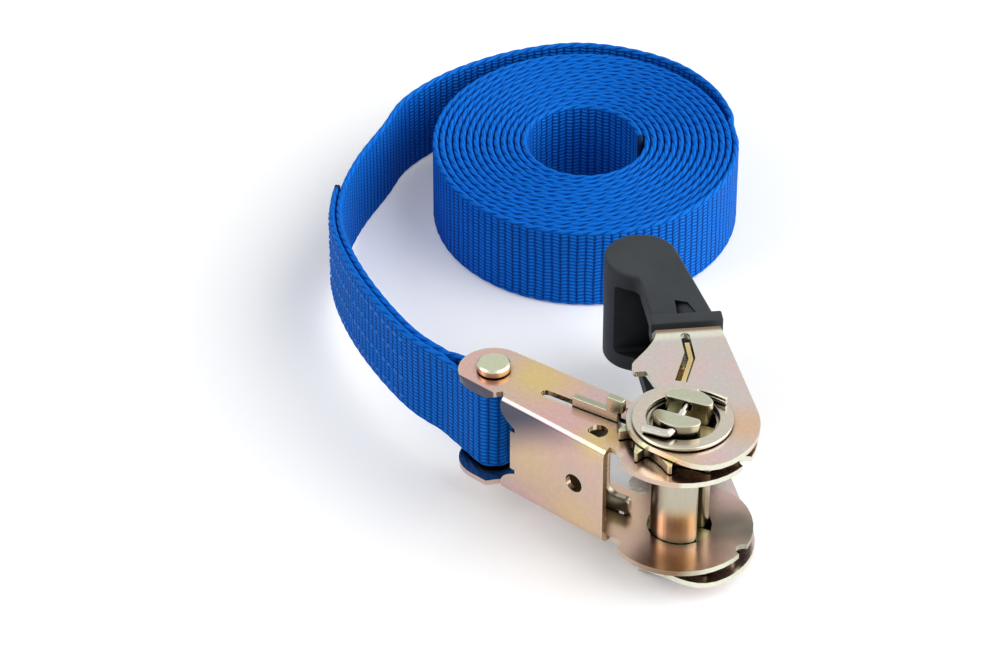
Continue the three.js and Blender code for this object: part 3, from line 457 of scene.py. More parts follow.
# Height and colour of both, then the melted ends
relief = (crown * 0.4 + dash * 0.6) * (1.0 - edge) + plump * (0.85 + strand * 0.15) * edge
woven = crown * 0.2 + dash * 0.8
selvedge = 0.24 + plump * (0.26 + strand * 0.14 + curl * 0.16)
tone = (woven * (1.0 - edge) + selvedge * edge) * (0.7 + fibre * 0.6)
# Painted shade and highlight: the blue is darker in the weave's valleys and lighter on its crowns and
# beads
cloth = web.colour(tone.ease(0.42, 1.0), web.colour(tone.ease(0.0, 0.46), VALLEY_SHADE, MID), CROWN_HIGHLIGHT)
from_end = along.least(STRAP_LENGTH / MM - along) + (fibre - 0.5) * 1.2
melted = 1.0 - from_end.ease(SEAL_FROM, SEAL_TO)
web.set("Base Color", web.colour(melted * 0.9, cloth, SEALED))
web.bump((relief + fibre * 0.1) * (1.0 - melted * 0.7), WEAVE_DEEP, WEAVE_SHARE)
strap.data.materials.append(web.material)
print("webbing: ribs", RIB, "mm, rows", ROW, "mm")

# %% [markdown]
# ## Stitching
# The tail is sewn to the strap behind the eye, in rows of thick thread. A line drawn in the finish would
# stay flat, so each stitch is a small stretched ball, half sunk into the webbing, on both outer faces.

# %% Stitches of the sewn tail
STITCH_LONG, STITCH_THICK, STITCH_STEP = 1.25 * MM, 0.42 * MM, 3.1 * MM
STITCH_ROWS = (-9.2, -3.1, 3.1, 9.2)
SEAM_NEAR, SEAM_FAR = 14 * MM, 92 * MM
THREAD_DARK, THREAD_LIT = rgb(0.002, 0.10, 0.46), rgb(0.02, 0.24, 0.86)
THREAD_SCALE = 1500.0
seam_steps = round((SEAM_FAR - SEAM_NEAR) / STITCH_STEP)
shaped = Matrix.Diagonal((STITCH_LONG, STITCH_THICK, STITCH_THICK, 1))
bm = bmesh.new()
for i in range(seam_steps):
    gone = SEAM_NEAR + i * STITCH_STEP
    for run in (SEWN_LENGTH - gone, eye_end + gone - 0.5 * STITCH_STEP):
        row = round(run / STRAP_LENGTH * rows)
        way = (centre_line[row + 1] - centre_line[row - 1]).normalized()
        outside = centre_line[row] + Vector((way.y, -way.x)) * STRAP_THICK / 2
        turned = Matrix.Rotation(math.atan2(way.y, way.x), 4, "Z")
        for up in STITCH_ROWS:
            moved = Matrix.Translation((*outside, low_edge(run) + STRAP_WIDE / 2 + up * MM))
            bmesh.ops.create_icosphere(bm, subdivisions=1, radius=1, matrix=moved @ turned @ shaped)
for face in bm.faces:
    face.smooth = True
stitches = object_from(bm, "strap_stitching")
sewing = Finish("stitch_thread", Roughness=0.5, Specular_IOR_Level=0.25)
twist = (sewing.noise(sewing.place(), THREAD_SCALE, 2.0) - 0.5) * 0.5 + 0.5
sewing.set("Base Color", sewing.colour(twist, THREAD_DARK, THREAD_LIT))
stitches.data.materials.append(sewing.material)
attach(stitches, "frame")
print(seam_steps * 2 * len(STITCH_ROWS), "stitches")

# %% [markdown]
# ## Plated steel
# The plates are zinc plated and passivated: mostly pink and mauve, with straw yellow patches that
# drift over the sheet, a pale green rim along every outline, and paler cut sides. A plain metal would
# look like chrome. Slow noise and a few soft patches colour the faces. Some other patches, straight
# bands across the handle's bend and down the spool's side, darkening near other parts and a dark
# corner on the frame's web are painted shade, painted highlight and painted reflection. The pale
# rims and cut sides are partly the plating's own colour and partly painted highlight. The rim comes
# from the Bevel node, whose normal leans near an edge, and the cut sides are found by their direction.

# %% Plated finishes
RIM_REACH = 0.0015
SLOW_SCALE, SLOWER_SCALE, FINE_SCALE = 60.0, 24.0, 900.0
# How far painted shade reaches near other parts, and inside the frame's channel
NEAR_SHADE_REACH, HOLLOW_REACH = 0.004, 0.03
INSIDE_FROM, INSIDE_TO = -0.0372, -0.0362
WEB_FROM, WEB_TO = 0.0386, 0.0391
GRAIN_DEEP = 0.00002
# Painted shade and reflection colours: a near-black brown for shade near other parts, a warm brown for
# shade in hollows, at bends and down the spool's side, and a blue-grey for the strap's reflection in the
# corner of the web
NEAR_SHADE, SHADE_BROWN, STRAP_REFLECTION = rgb(0.055, 0.04, 0.025), rgb(0.22, 0.13, 0.07), rgb(0.09, 0.092, 0.12)
CORNER_WAY, CORNER_START, CORNER_END = (-0.5, 0, 0.87), 0.0265, 0.0395


def spot(metal, where, centre, reach):
    """1 at the centre of a soft patch, 0 from its reach outwards."""
    away = metal.node("ShaderNodeVectorMath", {"operation": "DISTANCE"}, {0: where, 1: centre}, "Value")
    return 1.0 - away.ease(reach * 0.1, reach)


def band(metal, where, way, start, end):
    """0 before start and 1 after end, measured along a way."""
    gone = metal.node("ShaderNodeVectorMath", {"operation": "DOT_PRODUCT"}, {0: where, 1: way}, "Value")
    return gone.ease(start, end)


def plated(
    name, tints, rim, side, shine, seed, patches=(), painted_light_bands=(), hollow=False, streak=1.0, grain=0.3,
):
    """A plated finish: tints drift over faces, rim follows outlines and side is for cut edges.

    A hollow one gets painted shade inside its channel and a painted reflection of the strap in the
    corner of its web. Ambient occlusion paints shade near other parts, and the bands paint highlight
    and shade.
    """
    metal = Finish(name, Metallic=1.0)
    where = metal.place()
    sockets = {"Vector": where, "Location": (seed, seed * 0.7, seed * 0.3), "Scale": (1.0, 1.0, streak)}
    shifted = metal.node("ShaderNodeMapping", {}, sockets)
    slow = metal.noise(shifted, SLOW_SCALE, 2.0, 0.5).ease(0.36, 0.64)
    slower = metal.noise(shifted, SLOWER_SCALE, 1.0, 0.5).ease(0.45, 0.7)
    fine = metal.noise(shifted, FINE_SCALE, 3.0, 0.6)
    base, second, third = tints
    face = metal.colour(slower * 0.7, metal.colour(slow, base, second), third)
    true_normal = metal.node("ShaderNodeNewGeometry", {}, {}, "Normal")
    leaning = metal.node("ShaderNodeBevel", {"samples": 8}, {"Radius": RIM_REACH})
    sockets = {0: leaning, 1: true_normal}
    lean = metal.node("ShaderNodeVectorMath", {"operation": "DOT_PRODUCT"}, sockets, "Value")
    # Rim: the plating's pale green tint along edges; where the rim colour is pale it is partly painted
    # highlight
    face = metal.colour((1.0 - lean.ease(0.72, 0.97)) * 0.85, face, rim)
    upward = metal.split(metal.place("Normal"))[2].size()
    cut = 1.0 - upward.ease(0.25, 0.75)
    if hollow:
        cut = cut * metal.split(where)[1].ease(INSIDE_FROM, INSIDE_TO)
    # Painted shade: ambient occlusion darkens the colour to a dark brown near other surfaces
    open_air = metal.node("ShaderNodeAmbientOcclusion", {"samples": 6}, {"Distance": NEAR_SHADE_REACH}, "AO")
    unshaded = open_air.ease(0.15, 0.85) * (0.92 + fine.ease(0.35, 0.75) * 0.08)
    skin = metal.colour(cut, face, side)
    # Patches: mostly the plating's own tints, and on the frame's lower plate painted shade and painted
    # reflection
    for tint, reach, centre in patches:
        near = spot(metal, where, centre, reach)
        skin = metal.colour(near * (0.7 + slow * 0.3), skin, tint)
    # Bands: painted highlight and painted shade across a bend or down one side
    for tint, share, way, start, end in painted_light_bands:
        skin = metal.colour(band(metal, where, way, start, end) * share, skin, tint)
    skin = metal.colour(unshaded, NEAR_SHADE, skin)
    if hollow:
        # Painted reflection: the strap's blue-grey in the upper corner of the web
        on_web = band(metal, where, (0, -1, 0), WEB_FROM, WEB_TO)
        in_corner = band(metal, where, CORNER_WAY, CORNER_START, CORNER_END)
        skin = metal.colour(on_web * in_corner, skin, STRAP_REFLECTION)
        # Painted shade: the frame's own channel and hollows darken towards brown
        settings, sockets = {"only_local": True, "samples": 8}, {"Distance": HOLLOW_REACH}
        walled = metal.node("ShaderNodeAmbientOcclusion", settings, sockets, "AO")
        skin = metal.colour(walled.ease(0.2, 0.8), metal.colour(0.55, skin, SHADE_BROWN), skin)
    metal.set("Base Color", skin)
    metal.set("Roughness", shine + (fine - 0.5) * 0.08 + (slow - 0.5) * 0.05)
    metal.bump(fine, GRAIN_DEEP, grain)
    return metal.material


PINK, MAUVE, PEACH = rgb(0.68, 0.44, 0.41), rgb(0.60, 0.45, 0.43), rgb(0.70, 0.48, 0.33)
# The pale colour is partly the plating's own tint and partly painted highlight on rims, cut sides and a
# bend
STRAW, GREEN, PALE_TINT_AND_HIGHLIGHT = rgb(0.70, 0.53, 0.23), rgb(0.56, 0.60, 0.42), rgb(0.80, 0.80, 0.66)
SILVER, ROSE = rgb(0.60, 0.56, 0.52), rgb(0.70, 0.52, 0.50)
MOON, BRASS = rgb(0.52, 0.55, 0.40), rgb(0.62, 0.46, 0.20)
SAND, AMBER, SPOOL_REFLECTION = rgb(0.70, 0.51, 0.31), rgb(0.62, 0.38, 0.13), rgb(0.17, 0.15, 0.12)
OLIVE, DUN = rgb(0.37, 0.39, 0.28), rgb(0.40, 0.37, 0.29)
# Plating tints, except the brown and the dark patch on the lower plate: painted shade and a painted
# reflection of the spool
FRAME_TINTS_AND_SHADE = [
    (STRAW, 0.016, (-0.019, -0.026, 0.0389)), (STRAW, 0.009, (0.008, -0.036, 0.0389)),
    (SAND, 0.016, (-0.011, -0.0394, 0.024)), (SAND, 0.014, (0.002, -0.0394, 0.013)),
    (SAND, 0.012, (0.006, -0.03, 0.0106)), (SHADE_BROWN, 0.013, (0.031, -0.037, 0.0106)),
    (SPOOL_REFLECTION, 0.016, (0.035, -0.0135, 0.0106)),
]
SPOOL_PATCHES = [(AMBER, 0.007, (0.0285, -0.0282, 0.017)), (PEACH, 0.007, (0.0245, -0.0300, 0.015))]
SHADE_WAY = (-0.76, -0.65, 0)
# Painted shade: a brown band down the spool's shaded side
SPOOL_SHADE_BANDS = [(SHADE_BROWN, 0.75, SHADE_WAY, 0.0002, 0.0042)]
HANDLE_PATCHES = [(PEACH, 0.012, (0.036, -0.013, 0.0437)), (SAND, 0.010, (0.031, -0.034, 0.0437))]
BEND_WAY = (math.cos(HANDLE_REST), math.sin(HANDLE_REST), 0)
BEND_FROM = SPOOL.x * BEND_WAY[0] + SPOOL.y * BEND_WAY[1]
# Painted highlight and painted shade: a pale band where the handle bends down to the grip, and a brown
# band just before the collar
HANDLE_HIGHLIGHT_AND_SHADE = [
    (PALE_TINT_AND_HIGHLIGHT, 0.8, BEND_WAY, BEND_FROM + 32.6 * MM, BEND_FROM + 35.0 * MM),
    (SHADE_BROWN, 0.9, BEND_WAY, BEND_FROM + 35.8 * MM, BEND_FROM + 37.4 * MM),
]
frame_finish = plated(
    "plated_frame", (PINK, MAUVE, PEACH), GREEN, PALE_TINT_AND_HIGHLIGHT, shine=0.22, seed=0.0,
    patches=FRAME_TINTS_AND_SHADE, hollow=True)
handle_finish = plated(
    "plated_handle", (ROSE, SILVER, ROSE), GREEN, PALE_TINT_AND_HIGHLIGHT, shine=0.27, seed=0.11,
    patches=HANDLE_PATCHES, painted_light_bands=HANDLE_HIGHLIGHT_AND_SHADE)
washer_finish = plated(
    "plated_washers", (ROSE, SILVER, rgb(0.62, 0.57, 0.45)), GREEN, PALE_TINT_AND_HIGHLIGHT, shine=0.22, seed=0.19)
# The spool's darker, greyer sides are painted shade on the bars' inner faces
spool_finish = plated(
    "plated_spool", (MOON, rgb(0.54, 0.50, 0.42), MOON), PALE_TINT_AND_HIGHLIGHT, rgb(0.50, 0.46, 0.36), shine=0.24,
    seed=0.23, patches=SPOOL_PATCHES, painted_light_bands=SPOOL_SHADE_BANDS, streak=0.12, grain=0.1)
wheel_finish = plated(
    "plated_wheels", (GREEN, STRAW, MOON), PALE_TINT_AND_HIGHLIGHT, rgb(0.56, 0.52, 0.34), shine=0.3, seed=0.37)
drive_finish = plated(
    "plated_drive", (BRASS, STRAW, BRASS), PALE_TINT_AND_HIGHLIGHT, rgb(0.66, 0.52, 0.24), shine=0.26, seed=0.43)
lock_finish = plated(
    "plated_lock", (OLIVE, DUN, rgb(0.44, 0.47, 0.33)), GREEN, rgb(0.34, 0.32, 0.25), shine=0.3,
    seed=0.51)
# The bolt's orange sides are a painted reflection of the plate round it
bolt_finish = plated(
    "plated_bolt", (rgb(0.62, 0.63, 0.46), rgb(0.60, 0.58, 0.47), GREEN), PALE_TINT_AND_HIGHLIGHT,
    rgb(0.62, 0.42, 0.25), shine=0.3, seed=0.67)
wire_finish = plated(
    "plated_wire", (rgb(0.72, 0.70, 0.62), SILVER, rgb(0.68, 0.62, 0.46)), PALE_TINT_AND_HIGHLIGHT,
    rgb(0.70, 0.68, 0.58), shine=0.25, seed=0.83, grain=0.1)
spring_finish = plated(
    "plated_spring", (rgb(0.4, 0.4, 0.36), SILVER, STRAW), SILVER,
    rgb(0.42, 0.40, 0.34), shine=0.28, seed=0.91, grain=0.1)
FINISHES = {
    "frame": frame_finish, "handle": handle_finish, "lock_pawl": lock_finish, "drive_pawl": drive_finish,
    "spool_bar_rear": spool_finish, "spool_bar_front": spool_finish, "tab_bolt": bolt_finish,
    "tab_sleeve": wire_finish,
}
for name, finish in FINISHES.items():
    mesh = nodes[name].data
    mesh.materials.clear()
    mesh.materials.append(finish)
print("plated", len(FINISHES), "solids")

# %% [markdown]
# ## Broken edges
# Sheared and tumbled plate has no knife edges: each corner carries a thin line of light. The
# solids stay as they are, and modifiers finish them: Weld joins the triangles, planar Decimate
# makes whole faces again, Bevel breaks the corners, and a small node tree smooths what is round.

# %% Edge modifiers
SHARP_OVER, BEVEL_OVER, FLAT_WITHIN = math.radians(38), math.radians(40), math.radians(1)
WELD_GAP, FLAT_WEIGHT, EDGE_SEGMENTS = 0.000005, 80, 3
smooth_tree = bpy.data.node_groups.new("smooth_round_faces", "GeometryNodeTree")
smooth_tree.interface.new_socket("Geometry", in_out="INPUT", socket_type="NodeSocketGeometry")
smooth_tree.interface.new_socket("Geometry", in_out="OUTPUT", socket_type="NodeSocketGeometry")
entry, leave = smooth_tree.nodes.new("NodeGroupInput"), smooth_tree.nodes.new("NodeGroupOutput")
faces_smooth, edges_sharp = (smooth_tree.nodes.new("GeometryNodeSetShadeSmooth") for _ in range(2))
edges_sharp.domain = "EDGE"
edges_sharp.inputs["Shade Smooth"].default_value = False
edge_angle = smooth_tree.nodes.new("GeometryNodeInputMeshEdgeAngle")
sharp = smooth_tree.nodes.new("FunctionNodeCompare")
sharp.operation = "GREATER_THAN"
sharp.inputs[1].default_value = SHARP_OVER
for out, into in (
    (entry.outputs[0], faces_smooth.inputs["Geometry"]),
    (faces_smooth.outputs[0], edges_sharp.inputs["Geometry"]),
    (edge_angle.outputs["Unsigned Angle"], sharp.inputs[0]),
    (sharp.outputs[0], edges_sharp.inputs["Selection"]),
    (edges_sharp.outputs[0], leave.inputs[0]),
):
    smooth_tree.links.new(out, into)


def shade_round(made):
    """Live modifiers: smooth what is round, and keep flat faces flat."""
    smooth = made.modifiers.new("smooth_round", "NODES")
    smooth.node_group = smooth_tree
    flat = made.modifiers.new("flat_faces", "WEIGHTED_NORMAL")
    flat.weight = FLAT_WEIGHT
    flat.keep_sharp = True


def break_edges(made, width):
    """Live modifiers: whole faces, broken corners, and shading that keeps flat faces flat."""
    weld = made.modifiers.new("weld", "WELD")
    weld.merge_threshold = WELD_GAP
    whole = made.modifiers.new("whole_faces", "DECIMATE")
    whole.decimate_type = "DISSOLVE"
    whole.angle_limit = FLAT_WITHIN
    if width:
        bevel = made.modifiers.new("broken_edges", "BEVEL")
        bevel.width = width
        bevel.segments = EDGE_SEGMENTS
        bevel.limit_method = "ANGLE"
        bevel.angle_limit = BEVEL_OVER
        bevel.use_clamp_overlap = True
        bevel.loop_slide = False
        bevel.miter_outer = "MITER_ARC"
    shade_round(made)


EDGE_WIDTHS = {
    "frame": 0.3, "handle": 0.5, "lock_pawl": 0.4, "drive_pawl": 0.35,
    "spool_bar_rear": 0.5, "spool_bar_front": 0.5, "tab_bolt": 0.15, "tab_sleeve": 0.2,
}
for name, width in EDGE_WIDTHS.items():
    break_edges(nodes[name], width * MM)
print("edges broken on", len(EDGE_WIDTHS), "solids")

# %% [markdown]
# ## Split pins
# A split pin is one wire folded on itself: a fat bent head at the front bar, two thin legs
# through both bars, and their cut ends bent along the rear bar. A bevelled curve follows each
# run of wire, its ends round off by shrinking the last points, and the runs become one mesh.

# %% Split pins at both ends of the spool
PIN_HEIGHTS = {"split_pin_upper": 22.3, "split_pin_lower": -22.3}
HEAD_RUN = [
    (0, 0), (0, -4), (0, -8), (-0.5, -9.1), (-1.5, -9.5), (-3.4, -9.5), (-6.2, -9.5), (-6.8, -9.5),
    (-7.1, -9.5),
]
LEG_RUN = [(0, 0), (0, 4), (0, 8), (0.4, 9.1), (1.5, 9.5), (4.1, 9.5), (8.2, 8.8)]
HEAD_R, LEG_R, LEG_APART = 1.1 * MM, 0.54 * MM, 0.55 * MM
HEAD_END, LEG_END = [1.0, 0.98, 0.93, 0.84, 0.68, 0.4], [1.0, 0.9]
WIRE_STEPS = 7


def wire_run(points, height, thick, end_radii):
    """A mesh of round wire through plan points, with the last points shrunk to the given shares."""
    curve = bpy.data.curves.new("wire_run", "CURVE")
    curve.dimensions = "3D"
    curve.bevel_depth = thick
    curve.bevel_resolution = 4
    curve.use_fill_caps = True
    line = curve.splines.new("POLY")
    to_bars = Matrix.Rotation(SPOOL_REST, 2)
    bent = eased_line([to_bars @ Vector(p) * MM for p in points], WIRE_STEPS)
    line.points.add(len(bent) - 1)
    shares = [1.0] * (len(bent) - len(end_radii)) + end_radii
    for point, at, share in zip(line.points, bent, shares):
        point.co = (SPOOL.x + at.x, SPOOL.y + at.y, height, 1.0)
        point.radius = share
    holder = bpy.data.objects.new("wire_run", curve)
    scene.collection.objects.link(holder)
    bpy.context.view_layer.update()
    mesh = bpy.data.meshes.new_from_object(holder.evaluated_get(bpy.context.evaluated_depsgraph_get()))
    bpy.data.objects.remove(holder)
    return mesh


for name, height in PIN_HEIGHTS.items():
    bm = bmesh.new()
    level = MID_HEIGHT + height * MM
    for mesh in (
        wire_run(HEAD_RUN, level, HEAD_R, HEAD_END),
        wire_run(LEG_RUN, level + LEG_APART, LEG_R, LEG_END),
        wire_run(LEG_RUN, level - LEG_APART, LEG_R, LEG_END),
    ):
        bm.from_mesh(mesh)
    for face in bm.faces:
        face.smooth = len(face.verts) == 4
    pin = object_from(bm, name.replace("split_pin", "split_pin_wire"))
    pin.data.materials.append(wire_finish)
    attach(pin, "spool")
    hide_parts(name)
print("split pins", list(PIN_HEIGHTS))

# %% [markdown]
# ## Springs behind the pawls
# Each pawl is pushed by a small spring of round wire, with closed turns at its ends and open turns
# between. A curve could follow the coil; here a ring of wire is spun round the spring's axis and moved
# along it at each step, which is how the real wire is wound. The share of its length that it keeps
# when its pawl has slid fully back is worked out and printed.

# %% Wound springs
WIRE_R, WIRE_SIDES = 0.4, 10
SPRING_R, TURN_STEPS = 2.35, 28
END_TURNS, END_PITCH = 0.75, 0.86
SPRINGS = {"lock_spring": ("lock_slide", "frame", 4), "drive_spring": ("drive_slide", "handle", 5)}
slides = {joint["name"]: joint for joint in frame["record"]["behaviour"]["joints"]}


def spun_turns(bm, end, turns, advance):
    """Wire wound on from its end, by so many turns and millimetres; the new end comes back."""
    steps = round(turns * TURN_STEPS)
    return bmesh.ops.spin(
        bm, geom=end, cent=(0, 0, 0), axis=(1, 0, 0), dvec=(advance / steps, 0, 0),
        angle=math.tau * turns, steps=steps)["geom_last"]


for name, (slide, body, turns) in SPRINGS.items():
    way = Vector(slides[slide]["axis"]).normalized()
    across = Vector((-way.y, way.x, 0))
    runs, sides = ([v.co.dot(line) for v in nodes[name].data.vertices] for line in (way, across))
    length = max(runs) - min(runs)
    low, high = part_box(name)
    middle = across * (min(sides) + max(sides)) / 2 + Vector((0, 0, (low.z + high.z) / 2))
    bm = bmesh.new()
    first = Matrix.Translation((WIRE_R, SPRING_R, 0))
    bmesh.ops.create_circle(bm, segments=WIRE_SIDES, radius=WIRE_R, matrix=first)
    end_advance = END_TURNS * END_PITCH
    open_advance = length / MM - 2 * WIRE_R - 2 * end_advance
    wound = bm.verts[:] + bm.edges[:]
    for part_turns, advance in (
        (END_TURNS, end_advance), (turns - 2 * END_TURNS, open_advance), (END_TURNS, end_advance),
    ):
        wound = spun_turns(bm, wound, part_turns, advance)
    bmesh.ops.holes_fill(bm, edges=[e for e in bm.edges if e.is_boundary], sides=WIRE_SIDES)
    bmesh.ops.recalc_face_normals(bm, faces=bm.faces)
    for face in bm.faces:
        face.smooth = len(face.verts) == 4
    bm.transform(Matrix((
        (way.x * MM, across.x * MM, 0, middle.x + way.x * min(runs)),
        (way.y * MM, across.y * MM, 0, middle.y + way.y * min(runs)),
        (0, 0, MM, middle.z), (0, 0, 0, 1))))
    spring = object_from(bm, name + "_wound")
    spring.data.materials.append(spring_finish)
    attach(spring, body)
    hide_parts(name)
    keep = 1 - slides[slide]["range_m"][1] / length
    middle + way * max(runs)
    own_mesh(spring)
    print(spring.name, round(length / MM, 2), "mm long, keeps", round(keep, 2))

# %% [markdown]
# ## Tools for stamped and moulded shapes
# The next pieces are all flat outlines with a thickness: they could be drawn point by point, but
# raising a face and rounding its edges keeps each one to a few numbers. Holes are cut by a boolean
# whose tool is thrown away, so the finished mesh stands alone.

# %% Raise, round and cut
SAME = 1e-6


def raised(bm, points, base, top):
    """A prism: a face through the points, raised from base to top."""
    face = bm.faces.new([bm.verts.new((p, q, base)) for p, q in points])
    grown = bmesh.ops.extrude_face_region(bm, geom=[face])["geom"]
    lifted = [v for v in grown if isinstance(v, bmesh.types.BMVert)]
    bmesh.ops.translate(bm, vec=(0, 0, top - base), verts=lifted)
    bmesh.ops.recalc_face_normals(bm, faces=bm.faces)


def rounded(bm, edges, radius, segments):
    bmesh.ops.bevel(
        bm, geom=edges, offset=radius, offset_type="OFFSET", segments=segments, profile=0.5,
        affect="EDGES", material=-1, clamp_overlap=True)


def level_edges(bm):
    return [e for e in bm.edges if abs(e.verts[0].co.z - e.verts[1].co.z) < SAME]


def standing_edges(bm):
    return [e for e in bm.edges if (e.verts[0].co.xy - e.verts[1].co.xy).length < SAME]


def cutter(points, base, top, place, round_edges=0.0):
    """A raised outline as an object, to join or cut another with."""
    bm = bmesh.new()
    raised(bm, points, base, top)
    if round_edges:
        rounded(bm, bm.edges[:], round_edges, segments=4)
    bm.transform(place)
    return object_from(bm, "shaping_tool")


def shape_with(made, tool, operation):
    """Join or cut a piece with a tool, and take the tool away."""
    change = made.modifiers.new("shape", "BOOLEAN")
    change.operation = operation
    change.solver = "EXACT"
    change.object = tool
    bpy.context.view_layer.update()
    shaped = bpy.data.meshes.new_from_object(made.evaluated_get(bpy.context.evaluated_depsgraph_get()))
    made.modifiers.remove(change)
    made.data = shaped
    bpy.data.objects.remove(tool)


print("tools ready")

# %% [markdown]
# ## Washers and ratchet wheels
# A washer is a punched ring with soft rims. A wheel is a stamped plate: ten teeth that lean one way,
# steep in front and sloping behind, with tumbled tips, and two half-moon holes for the spool's bars.
# The ring is a section spun round the spool; the wheel is one tooth's outline, repeated and raised.

# %% Washers
WASHER_HOLE_R, WASHER_RIM, WASHER_STEPS = 9.2, 0.22, 96
for name in ("washer_upper", "washer_lower"):
    low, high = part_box(name)
    washer_r = (high.x - low.x) / 2 / MM
    base, top = ((z - MID_HEIGHT) / MM for z in (low.z, high.z))
    bm = bmesh.new()
    section = [(WASHER_HOLE_R, base), (washer_r, base), (washer_r, top), (WASHER_HOLE_R, top)]
    corners = [bm.verts.new((r, 0, z)) for r, z in section]
    edges = [bm.edges.new(pair) for pair in zip(corners, corners[1:] + corners[:1])]
    bmesh.ops.spin(
        bm, geom=corners + edges, cent=(0, 0, 0), axis=(0, 0, 1), angle=math.tau,
        steps=WASHER_STEPS, use_merge=True)
    bmesh.ops.recalc_face_normals(bm, faces=bm.faces)
    rounded(bm, [e for e in level_edges(bm) if abs(e.calc_face_angle()) > 1], WASHER_RIM, segments=3)
    bm.transform(on_spool)
    washer = object_from(bm, name + "_punched")
    shade_round(washer)
    washer.data.materials.append(washer_finish)
    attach(washer, "spool")
    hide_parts(name)
print("washers", WASHER_HOLE_R, "mm inside")

# %% Ratchet wheels
TEETH, TIP_R, ROOT_R = 10, 16.0, 12.2
TOOTH_PHASE = math.radians(299.3)
TOOTH = [(1, 0), (0.32, -1.2), (0.08, -0.2), (0, 3.5), (0.14, 14), (0.45, 24), (0.78, 29.5), (1, 32.5)]
TIP_ROUND, GULLET_ROUND, WHEEL_RIM = 0.45, 0.8, 0.4
TIP_BAND, GULLET_BAND = 0.01, 0.4
BAR_R, BAR_SLOT, KEY_GAP, KEY_STEPS = 8.0, 5.6, 0.15, 24


def tooth_point(tooth, share, past):
    angle = TOOTH_PHASE - SPOOL_REST + math.radians(tooth * 360 / TEETH + past)
    radius = ROOT_R + share * (TIP_R - ROOT_R)
    return radius * math.cos(angle), radius * math.sin(angle)


half_slot = BAR_SLOT / 2 - KEY_GAP
key_r = BAR_R + KEY_GAP
key_turn = math.asin(half_slot / key_r)
key_turns = [key_turn + (math.pi - 2 * key_turn) * i / KEY_STEPS for i in range(KEY_STEPS + 1)]
half_moon = [(key_r * math.cos(turn), key_r * math.sin(turn)) for turn in key_turns]
for name in ("ratchet_wheel_upper", "ratchet_wheel_lower"):
    low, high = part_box(name)
    base, top = ((z - MID_HEIGHT) / MM for z in (low.z, high.z))
    bm = bmesh.new()
    raised(bm, [tooth_point(i, *corner) for i in range(TEETH) for corner in TOOTH], base, top)
    tips = [e for e in standing_edges(bm) if e.verts[0].co.xy.length > TIP_R - TIP_BAND]
    rounded(bm, tips, TIP_ROUND, segments=4)
    gullets = [e for e in standing_edges(bm) if e.verts[0].co.xy.length < ROOT_R + GULLET_BAND]
    rounded(bm, gullets, GULLET_ROUND, segments=2)
    rounded(bm, level_edges(bm), WHEEL_RIM, segments=3)
    bm.transform(on_spool)
    wheel = object_from(bm, name + "_stamped")
    for turn in (0, math.pi):
        moon = cutter(half_moon, base - 1, top + 1, on_spool @ Matrix.Rotation(turn, 4, "Z"))
        shape_with(wheel, moon, "DIFFERENCE")
    break_edges(wheel, 0)
    wheel.data.materials.clear()
    wheel.data.materials.append(wheel_finish)
    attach(wheel, "spool")
    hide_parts(name)
print("wheels of", TEETH, "teeth")

# %% [markdown]
# ## The rubber grip
# The grip is moulded over the handle's arms: a solid end as thick as a thumb, two cheeks, a
# window between them on the inner side, and a rolled collar round its mouth. Its side view is
# drawn with spun arcs, raised to its full width and rounded. The window, the arms' slots and the
# two wedge recesses are cut by booleans, so that each stays a simple shape of its own.

# %% Grip solids
GRIP_HALF, GRIP_EDGE, GRIP_SLOPE = 15.8, 0.8, math.radians(10.5)
BULB, BULB_R, BULB_STEPS = (76.52, -0.44), 9.8, 26
FILLET, FILLET_STEPS = 3.0, 6
GRIP_FRONT, INNER_FRONT, INNER_BACK = 44.5, 0.7, 1.5
bm = bmesh.new()
out = Vector((math.sin(GRIP_SLOPE), -math.cos(GRIP_SLOPE)))
touch = Vector(BULB) + BULB_R * out
reach, fillet_q = BULB_R + FILLET, INNER_BACK + FILLET
fillet_p = BULB[0] - math.sqrt(reach**2 - (fillet_q - BULB[1]) ** 2)
bulb_end = math.atan2(fillet_q - BULB[1], fillet_p - BULB[0])
start = bm.verts.new((touch.x, touch.y, -GRIP_HALF))
bmesh.ops.spin(
    bm, geom=[start], cent=(*BULB, 0), axis=(0, 0, 1), angle=bulb_end - GRIP_SLOPE + math.pi / 2,
    steps=BULB_STEPS)
bm.verts.ensure_lookup_table()
tip = bm.verts[-1]
bmesh.ops.spin(
    bm, geom=[tip], cent=(fillet_p, fillet_q, 0), axis=(0, 0, 1), angle=-(bulb_end - math.pi / 2),
    steps=FILLET_STEPS)
bm.verts.ensure_lookup_table()
outline = [v.co.xy.copy() for v in bm.verts]
bm.free()
front_q = touch.y - (touch.x - GRIP_FRONT) * math.tan(GRIP_SLOPE)
outline += [Vector((GRIP_FRONT, INNER_FRONT)), Vector((GRIP_FRONT, front_q))]
bm = bmesh.new()
raised(bm, outline, -GRIP_HALF, GRIP_HALF)
rounded(bm, level_edges(bm), GRIP_EDGE, segments=4)
bm.transform(on_handle)
grip = object_from(bm, "handle_grip_moulded")
print("grip body", len(grip.data.polygons), "faces")

